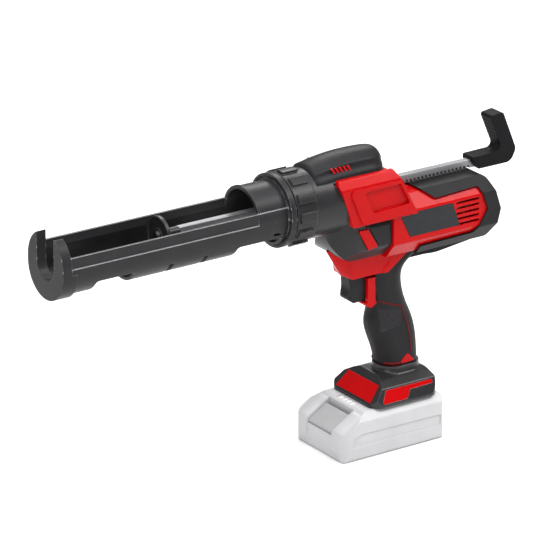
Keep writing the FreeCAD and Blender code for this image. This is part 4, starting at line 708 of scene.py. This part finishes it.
def thicken(piece, thickness):
    """Gives the active sheet its thickness, half of it to each side."""
    wall = piece.modifiers.new("thickness", "SOLIDIFY")
    wall.thickness = thickness
    wall.offset = 0.0
    bpy.ops.object.modifier_apply(modifier="thickness")
    face_outwards()


def round_edges(piece, width, segments):
    """Rounds the sharp edges of the active piece."""
    rounding = piece.modifiers.new("rounding", "BEVEL")
    rounding.width = width
    rounding.segments = segments
    bpy.ops.object.modifier_apply(modifier="rounding")


def copy_of(context, first):
    """Copy of a piece, with its own mesh."""
    copy = first.copy()
    copy.data = first.data.copy()
    context.collection.objects.link(copy)
    return copy


def join_copies(context, first, copies):
    """One piece from all the copies, without the piece that they were copied from."""
    bpy.data.objects.remove(first)
    bpy.ops.object.select_all(action="DESELECT")
    for copy in copies:
        copy.select_set(True)
    context.view_layer.objects.active = copies[0]
    bpy.ops.object.join()
    return context.object


def keep_as(piece, name, body, material):
    """Names a finished piece, puts its place into its mesh and lets it ride on a body."""
    bpy.ops.object.select_all(action="DESELECT")
    piece.select_set(True)
    bpy.context.view_layer.objects.active = piece
    bpy.ops.object.transform_apply(location=True, rotation=True, scale=True)
    piece.name = name
    piece.data.name = name
    piece.data.materials.clear()
    piece.data.materials.append(material)
    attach(piece, body)


class CAULKING_OT_grip_diamonds(bpy.types.Operator):
    """Field of raised diamonds on each side of the grip, in rubber painted lighter as a highlight"""

    bl_idname = "caulking.grip_diamonds"
    bl_label = "Grip diamonds"

    def execute(self, context):
        # The diamonds' rubber is painted 3.8 times lighter than the cover, a painted highlight on the raised
        # diamonds
        painted_light = moulded("highlit_rubber", shade(colours().rubber, 3.8), 0.46, grain=1500.0, painted_edge_light=3.0,
                         radius=0.0003, gloss=0.12)
        for side, tag in SIDES:
            field = self.field(context, side)
            keep_as(field, "grip_diamonds_" + tag, "tool", painted_light.material)
        return {"FINISHED"}

    def field(self, context, side):
        """One diamond, copied over the field's staggered rows. They get lower towards the front."""
        pitch = sizes().diamond_pitch
        first = self.diamond(context, pitch)
        copies = []
        for row in range(FIELD_ROWS):
            for column in range(FIELD_COLUMNS):
                x = FIELD_FRONT + (column + 0.5 * (row % 2)) * pitch
                z = FIELD_TOP - row * pitch / 2 - (x - FIELD_FRONT) * FIELD_FALL
                if x > FIELD_REAR or z < FIELD_LOW + (x - FIELD_FRONT) * FIELD_CLIMB:
                    continue
                fade = min(1.0, FADE_START + column / FADE_COLUMNS)
                place, normal = on_cover(side, x, z)
                copy = copy_of(context, first)
                copy.matrix_world = self.seat(place, normal) @ Matrix.Diagonal((1.0, 1.0, fade, 1.0))
                copies.append(copy)
        return join_copies(context, first, copies)

    def seat(self, place, normal):
        """Place and turn of a diamond on the cover, with two of its corners along X."""
        along = Vector((1.0, 0.0, 0.0))
        along = (along - normal * along.dot(normal)).normalized()
        turn = Matrix((along, normal.cross(along), normal)).transposed().to_4x4()
        return Matrix.Translation(place) @ turn

    def diamond(self, context, pitch):
        """Four-sided diamond with a small flat top. Its lower half sinks into the cover."""
        bpy.ops.object.select_all(action="DESELECT")
        bpy.ops.mesh.primitive_cone_add(
            vertices=4, radius1=pitch * DIAMOND_FOOT, radius2=pitch * DIAMOND_TOP,
            depth=2 * sizes().diamond_height)
        piece = context.object
        bpy.ops.object.mode_set(mode="EDIT")
        bpy.ops.mesh.select_all(action="SELECT")
        bpy.ops.mesh.bevel(offset=pitch * DIAMOND_EDGE, segments=1)
        bpy.ops.object.mode_set(mode="OBJECT")
        return piece


class CAULKING_OT_grip_lines(bpy.types.Operator):
    """Dark red bead round each side of the grip's soft cover, and the band and red corner at its foot"""

    bl_idname = "caulking.grip_lines"
    bl_label = "Grip lines"

    def execute(self, context):
        line = moulded("dark_red_line", colours().line, 0.45, depth=0.00002, uneven=0.08, gloss=0.12)
        red = bpy.data.materials["red_moulding"]
        for side, tag in SIDES:
            bead = self.bead(context, side, LINE_PLACES, sizes().line_radius)
            keep_as(bead, "grip_line_" + tag, "tool", line.material)
            band = self.bead(context, side, BAND_PLACES, sizes().band_radius)
            keep_as(band, "grip_band_" + tag, "tool", line.material)
            corner = self.corner(context, side)
            keep_as(corner, "grip_corner_" + tag, "tool", red)
        return {"FINISHED"}

    def bead(self, context, side, route, radius):
        """Half-sunk bead that follows the cover's surface."""
        bpy.ops.object.select_all(action="DESELECT")
        bpy.ops.curve.primitive_nurbs_path_add()
        path = context.object
        path.matrix_world = Matrix.Identity(4)
        spline = path.data.splines[0]
        places = [on_cover(side, x, z)[0] for x, z in close_steps(route, LINE_STEP)]
        spline.points.add(len(places) - len(spline.points))
        for point, place in zip(spline.points, places):
            point.co = (*place, 1.0)
        spline.order_u = 3
        spline.use_endpoint_u = True
        path.data.bevel_depth = radius
        path.data.bevel_resolution = 3
        path.data.use_fill_caps = True
        bpy.ops.object.convert(target="MESH")
        return context.object

    def corner(self, context, side):
        """Three-cornered inlay, laid on the cover and given its thickness."""
        bpy.ops.object.select_all(action="DESELECT")
        bpy.ops.mesh.primitive_circle_add(vertices=len(CORNER_PLACES), fill_type="NGON")
        piece = context.object
        for vertex, (x, z) in zip(piece.data.vertices, CORNER_PLACES):
            vertex.co = (x, side * BESIDE_GRIP, z)
        bpy.ops.object.mode_set(mode="EDIT")
        bpy.ops.mesh.select_all(action="SELECT")
        bpy.ops.mesh.bevel(offset=CORNER_ROUND, segments=3, affect="VERTICES")
        bpy.ops.mesh.poke()
        bpy.ops.mesh.subdivide(number_cuts=CORNER_CUTS)
        bpy.ops.object.mode_set(mode="OBJECT")
        for vertex in piece.data.vertices:
            place, normal = on_cover(side, vertex.co.x, vertex.co.z)
            vertex.co = place + normal * CORNER_LIFT
        thicken(piece, CORNER_THICKNESS)
        return piece


class CAULKING_OT_pack_rims(bpy.types.Operator):
    """Raised rim on each side of the pack's latch, down its slope and its front"""

    bl_idname = "caulking.pack_rims"
    bl_label = "Pack rims"

    def execute(self, context):
        pale = bpy.data.materials["pale_pack"]
        for side, tag in SIDES:
            keep_as(self.rim(context, side), "pack_rim_" + tag, "battery", pale)
        return {"FINISHED"}

    def rim(self, context, side):
        """Strip laid on the pack, higher along its middle, and given its thickness."""
        route = close_steps(PACK_RIM_ROUTE, PACK_RIM_STEP)
        along = len(route) - 1
        across = len(PACK_RIM_PROFILE) - 1
        bpy.ops.object.select_all(action="DESELECT")
        bpy.ops.mesh.primitive_grid_add(x_subdivisions=along, y_subdivisions=across, size=GRID_WIDTH)
        piece = context.object
        for vertex in piece.data.vertices:
            y, height = PACK_RIM_PROFILE[grid_line(vertex.co.y, across)]
            vertex.co = self.place(route, grid_line(vertex.co.x, along), side * y, height)
        thicken(piece, PACK_RIM_THICKNESS)
        bpy.ops.object.shade_smooth_by_angle(angle=PACK_RIM_SMOOTH)
        return piece

    def place(self, route, step, y, height):
        """Place over the pack's surface, sunk towards both ends of the route."""
        x, z = route[step]
        before = route[max(step - 1, 0)]
        after = route[min(step + 1, len(route) - 1)]
        outward = Vector((after[1] - before[1], 0.0, before[0] - after[0])).normalized()
        start = Vector((x, y, z)) + outward * OVER_PACK
        hits = [NODES[name].ray_cast(start, -outward) for name in PACK_NODES]
        places = [hit[1] for hit in hits if hit[0]]
        if not places:
            raise RuntimeError("no battery pack at x %.4f, y %.4f, z %.4f" % (x, y, z))
        surface = min(places, key=lambda place: (place - start).length)
        ends = min(step, len(route) - 1 - step) * PACK_RIM_STEP / PACK_RIM_FADE
        low = PACK_RIM_PROFILE[0][1]
        return surface + outward * (low + (height - low) * min(ends, 1.0))


class CAULKING_OT_cover_crown(bpy.types.Operator):
    """Rounded crown of the top cover, with a sunk strip along each flank"""

    bl_idname = "caulking.cover_crown"
    bl_label = "Cover crown"

    def execute(self, context):
        stations = self.stations()
        ring = self.ring()
        along = len(stations) - 1
        around = len(ring)
        bpy.ops.object.select_all(action="DESELECT")
        bpy.ops.mesh.primitive_grid_add(x_subdivisions=along, y_subdivisions=around, size=GRID_WIDTH)
        piece = context.object
        for vertex in piece.data.vertices:
            x = stations[grid_line(vertex.co.x, along)]
            y, z, strip = ring[grid_line(vertex.co.y, around) % around]
            vertex.co = self.place(x, y, z, strip)
        bpy.ops.object.mode_set(mode="EDIT")
        bpy.ops.mesh.select_all(action="SELECT")
        bpy.ops.mesh.remove_doubles(threshold=DOUBLES)
        bpy.ops.mesh.fill_holes(sides=0)
        bpy.ops.object.mode_set(mode="OBJECT")
        face_outwards()
        bpy.ops.object.shade_smooth_by_angle(angle=CROWN_SMOOTH)
        keep_as(piece, "top_cover_crown", "tool", bpy.data.materials["charcoal_moulding"])
        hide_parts("top_cover")
        return {"FINISHED"}

    def stations(self):
        """Places along X, closer together where the ends are rounded."""
        quarter = math.pi / 2
        front = [CROWN_FRONT + FRONT_ROUND * (1.0 - math.cos(quarter * i / FRONT_STEPS))
                 for i in range(FRONT_STEPS + 1)]
        length = STRIP_REAR - STRIP_FRONT
        strip = [STRIP_FRONT + length * i / STRIP_STEPS for i in range(STRIP_STEPS + 1)]
        start = STRIP_REAR + STRIP_EDGE
        reach = CROWN_REAR - start
        rear = [start + reach * math.sin(quarter * i / REAR_STEPS) for i in range(REAR_STEPS + 1)]
        return front + [STRIP_FRONT - STRIP_EDGE] + strip + rear

    def ring(self):
        """Places round the section from one foot to the other, and whether the strip is there."""
        half = [(y, z, STRIP_FIRST <= i <= STRIP_LAST) for i, (y, z) in enumerate(CROWN_FLANK)]
        for degrees in range(ARC_START, 0, -ARC_STEP):
            angle = math.radians(degrees)
            fall = CROWN_ARC * (1.0 - math.cos(angle))
            half.append((CROWN_ARC * math.sin(angle), CROWN_PEAK - fall, False))
        top = [(0.0, CROWN_PEAK, False)]
        return half + top + [(-y, z, strip) for y, z, strip in reversed(half)]

    def place(self, x, y, z, strip):
        """Place on the crown: the section, drawn in towards the ends and sunk along the strip."""
        if strip and STRIP_FRONT - CLOSE < x < STRIP_REAR + CLOSE:
            y -= math.copysign(sizes().strip_depth, y)
        bow = FRONT_BOW if x < CROWN_TOP_X else REAR_BOW
        top = CROWN_PEAK - bow * (x - CROWN_TOP_X) ** 2
        top -= self.drop(CROWN_FRONT + FRONT_ROUND - x, FRONT_ROUND)
        top -= self.drop(x - CROWN_REAR + REAR_ROUND, REAR_ROUND)
        half = CROWN_HALF
        half -= self.drop(CROWN_FRONT + NOSE_ROUND - x, NOSE_ROUND)
        half -= self.drop(x - CROWN_REAR + TAIL_ROUND, TAIL_ROUND)
        height = (top - CROWN_BASE) / (CROWN_PEAK - CROWN_BASE)
        return x, y * half / CROWN_HALF, CROWN_BASE + (z - CROWN_BASE) * height

    def drop(self, reach, radius):
        """How far a rounded end has fallen, at a reach beyond where the rounding starts."""
        reach = min(max(reach, 0.0), radius)
        return radius - math.sqrt(radius * radius - reach * reach)


class CAULKING_OT_lock_guards(bpy.types.Operator):
    """Raised guard beside the lock button, on each side of the gear case"""

    bl_idname = "caulking.lock_guards"
    bl_label = "Lock guards"

    def execute(self, context):
        charcoal = bpy.data.materials["charcoal_moulding"]
        for side, tag in SIDES:
            keep_as(self.guard(context, side), "lock_guard_" + tag, "tool", charcoal)
        return {"FINISHED"}

    def guard(self, context, side):
        """Face drawn out from its foot on the casing, with a sloped top and rounded edges."""
        bpy.ops.object.select_all(action="DESELECT")
        bpy.ops.mesh.primitive_circle_add(vertices=len(GUARD_BASE), fill_type="NGON")
        piece = context.object
        for vertex, (x, z) in zip(piece.data.vertices, GUARD_BASE):
            vertex.co = (x, side * GUARD_BASE_Y, z)
        bpy.ops.object.mode_set(mode="EDIT")
        bpy.ops.mesh.select_all(action="SELECT")
        out = (0.0, side * (GUARD_FACE_Y - GUARD_BASE_Y), 0.0)
        bpy.ops.mesh.extrude_region_move(TRANSFORM_OT_translate={"value": out})
        bpy.ops.object.mode_set(mode="OBJECT")
        halfway = (GUARD_BASE_Y + GUARD_FACE_Y) / 2
        pairs = list(zip(GUARD_BASE, GUARD_FACE))
        for vertex in piece.data.vertices:
            if abs(vertex.co.y) > halfway:
                here = (vertex.co.x, vertex.co.z)
                x, z = min(pairs, key=lambda pair: math.dist(pair[0], here))[1]
                vertex.co = (x, side * GUARD_FACE_Y, z)
        face_outwards()
        round_edges(piece, sizes().guard_edge, segments=2)
        return piece


class CAULKING_OT_handle_ribs(bpy.types.Operator):
    """Fine ribs across the front of the pull handle"""

    bl_idname = "caulking.handle_ribs"
    bl_label = "Handle ribs"

    def execute(self, context):
        first = self.rib(context)
        copies = []
        for i in range(RIBS):
            copy = copy_of(context, first)
            copy.location = self.seat(RIB_LOW + i * RIB_PITCH)
            copies.append(copy)
        ribs = join_copies(context, first, copies)
        keep_as(ribs, "handle_ribs", "rack", bpy.data.materials["black_handle"])
        return {"FINISHED"}

    def rib(self, context):
        """Round bar across the handle, with rounded ends."""
        height = sizes().rib_height
        bpy.ops.object.select_all(action="DESELECT")
        bpy.ops.mesh.primitive_cylinder_add(
            vertices=RIB_SIDES, radius=2 * height, depth=RIB_LENGTH, rotation=(math.pi / 2, 0.0, 0.0))
        piece = context.object
        round_edges(piece, height, segments=3)
        return piece

    def seat(self, z):
        """Middle of a rib at a height, sunk so that it stands out by its own height."""
        start = Vector((HANDLE_FRONT, 0.0, z))
        found, place, normal = NODES["pull_handle"].ray_cast(start, Vector((1.0, 0.0, 0.0)))[:3]
        if not found:
            raise RuntimeError("no pull handle at z %.4f" % z)
        return place - normal * sizes().rib_height


class CAULKING_OT_stage(bpy.types.Operator):
    """Pale floor, soft studio light and the camera"""

    bl_idname = "caulking.stage"
    bl_label = "Studio"

    def execute(self, context):
        stage = context.scene.caulking_stage
        self.floor(context, stage.floor_size)
        self.room(context, stage.sky)
        for name, place, size, power in (
            ("key_softbox", (-0.4, -0.5, 3.0), 4.0, stage.key_power),
            ("side_softbox", (1.3, -1.0, 1.9), 0.8, stage.side_power),
            ("fill_softbox", (-2.0, -1.1, 1.3), 0.9, stage.fill_power),
            ("rim_softbox", (0.9, 1.3, 1.5), 0.8, stage.rim_power),
        ):
            self.softbox(context, name, place, size, power)
        self.camera(context, stage)
        context.scene.view_settings.view_transform = "Standard"
        return {"FINISHED"}

    def floor(self, context, size):
        """Sheet of pale paper that the tool stands on."""
        bpy.ops.object.select_all(action="DESELECT")
        floor_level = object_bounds()[0][2]
        bpy.ops.mesh.primitive_plane_add(size=size, location=(0.0, 0.0, floor_level))
        floor = context.object
        floor.name = "studio_floor"
        paper = Finish("studio_paper")
        paper.feed("Base Color", paper.ramp(paper.noise(PAPER_SCALE), PAPER_DARK, PAPER_LIGHT))
        paper.shader.inputs["Roughness"].default_value = PAPER_ROUGHNESS
        floor.data.materials.append(paper.material)
        floor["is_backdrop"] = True

    def room(self, context, strength):
        """Even white light from all round."""
        world = bpy.data.worlds.new("studio_room")
        context.scene.world = world
        world.use_nodes = True
        background = world.node_tree.nodes["Background"]
        background.inputs["Color"].default_value = (1.0, 1.0, 1.0, 1.0)
        background.inputs["Strength"].default_value = strength

    def camera(self, context, stage):
        """Camera at its place, level across and looking down."""
        camera = bpy.data.objects.new("studio_camera", bpy.data.cameras.new("studio_camera"))
        context.scene.collection.objects.link(camera)
        camera.location = stage.camera_place
        camera.rotation_euler = (math.pi / 2 - stage.camera_drop, 0.0, stage.camera_turn)
        camera.data.sensor_fit = "HORIZONTAL"
        camera.data.sensor_width = SENSOR_WIDTH
        camera.data.lens = stage.focal_length
        camera.data.clip_end = FAR_CLIP
        context.scene.camera = camera

    def softbox(self, context, name, place, size, power):
        """Square light that faces the middle of the tool."""
        lamp = bpy.data.lights.new(name, "AREA")
        lamp.size = size
        lamp.energy = power
        box = bpy.data.objects.new(name, lamp)
        context.scene.collection.objects.link(box)
        box.location = place
        middle = (Vector(CAD_BOX[0]) + Vector(CAD_BOX[1])) / 2
        box.rotation_euler = (middle - Vector(place)).to_track_quat("-Z", "Y").to_euler()


class CAULKING_PT_panel(bpy.types.Panel):
    """Lists the finishes and pieces in the sidebar"""

    bl_idname = "CAULKING_PT_panel"
    bl_label = "Caulking Tool"
    bl_space_type = "VIEW_3D"
    bl_region_type = "UI"
    bl_category = "Caulking Tool"

    def draw(self, context):
        for operator in OPERATORS:
            self.layout.operator(operator.bl_idname)
        scene = context.scene
        for group in (scene.caulking_colours, scene.caulking_sizes, scene.caulking_stage):
            for name in group.__annotations__:
                self.layout.prop(group, name)


OPERATORS = (
    CAULKING_OT_dark_mouldings,
    CAULKING_OT_red_mouldings,
    CAULKING_OT_soft_covers,
    CAULKING_OT_metal_pieces,
    CAULKING_OT_inner_pieces,
    CAULKING_OT_battery_finish,
    CAULKING_OT_grip_diamonds,
    CAULKING_OT_grip_lines,
    CAULKING_OT_pack_rims,
    CAULKING_OT_cover_crown,
    CAULKING_OT_lock_guards,
    CAULKING_OT_handle_ribs,
    CAULKING_OT_stage,
)
GROUPS = (CaulkingColours, CaulkingSizes, CaulkingStage)


def register():
    for item in GROUPS + OPERATORS + (CAULKING_PT_panel,):
        bpy.utils.register_class(item)
    bpy.types.Scene.caulking_colours = bpy.props.PointerProperty(type=CaulkingColours)
    bpy.types.Scene.caulking_sizes = bpy.props.PointerProperty(type=CaulkingSizes)
    bpy.types.Scene.caulking_stage = bpy.props.PointerProperty(type=CaulkingStage)


def unregister():
    del bpy.types.Scene.caulking_stage
    del bpy.types.Scene.caulking_sizes
    del bpy.types.Scene.caulking_colours
    for item in reversed(GROUPS + OPERATORS + (CAULKING_PT_panel,)):
        bpy.utils.unregister_class(item)


def main():
    register()
    bpy.ops.caulking.dark_mouldings()
    bpy.ops.caulking.red_mouldings()
    bpy.ops.caulking.soft_covers()
    bpy.ops.caulking.metal_pieces()
    bpy.ops.caulking.inner_pieces()
    bpy.ops.caulking.battery_finish()
    bpy.ops.caulking.grip_diamonds()
    bpy.ops.caulking.grip_lines()
    bpy.ops.caulking.pack_rims()
    bpy.ops.caulking.cover_crown()
    bpy.ops.caulking.lock_guards()
    bpy.ops.caulking.handle_ribs()
    bpy.ops.caulking.stage()


if __name__ == "__main__":
    main()
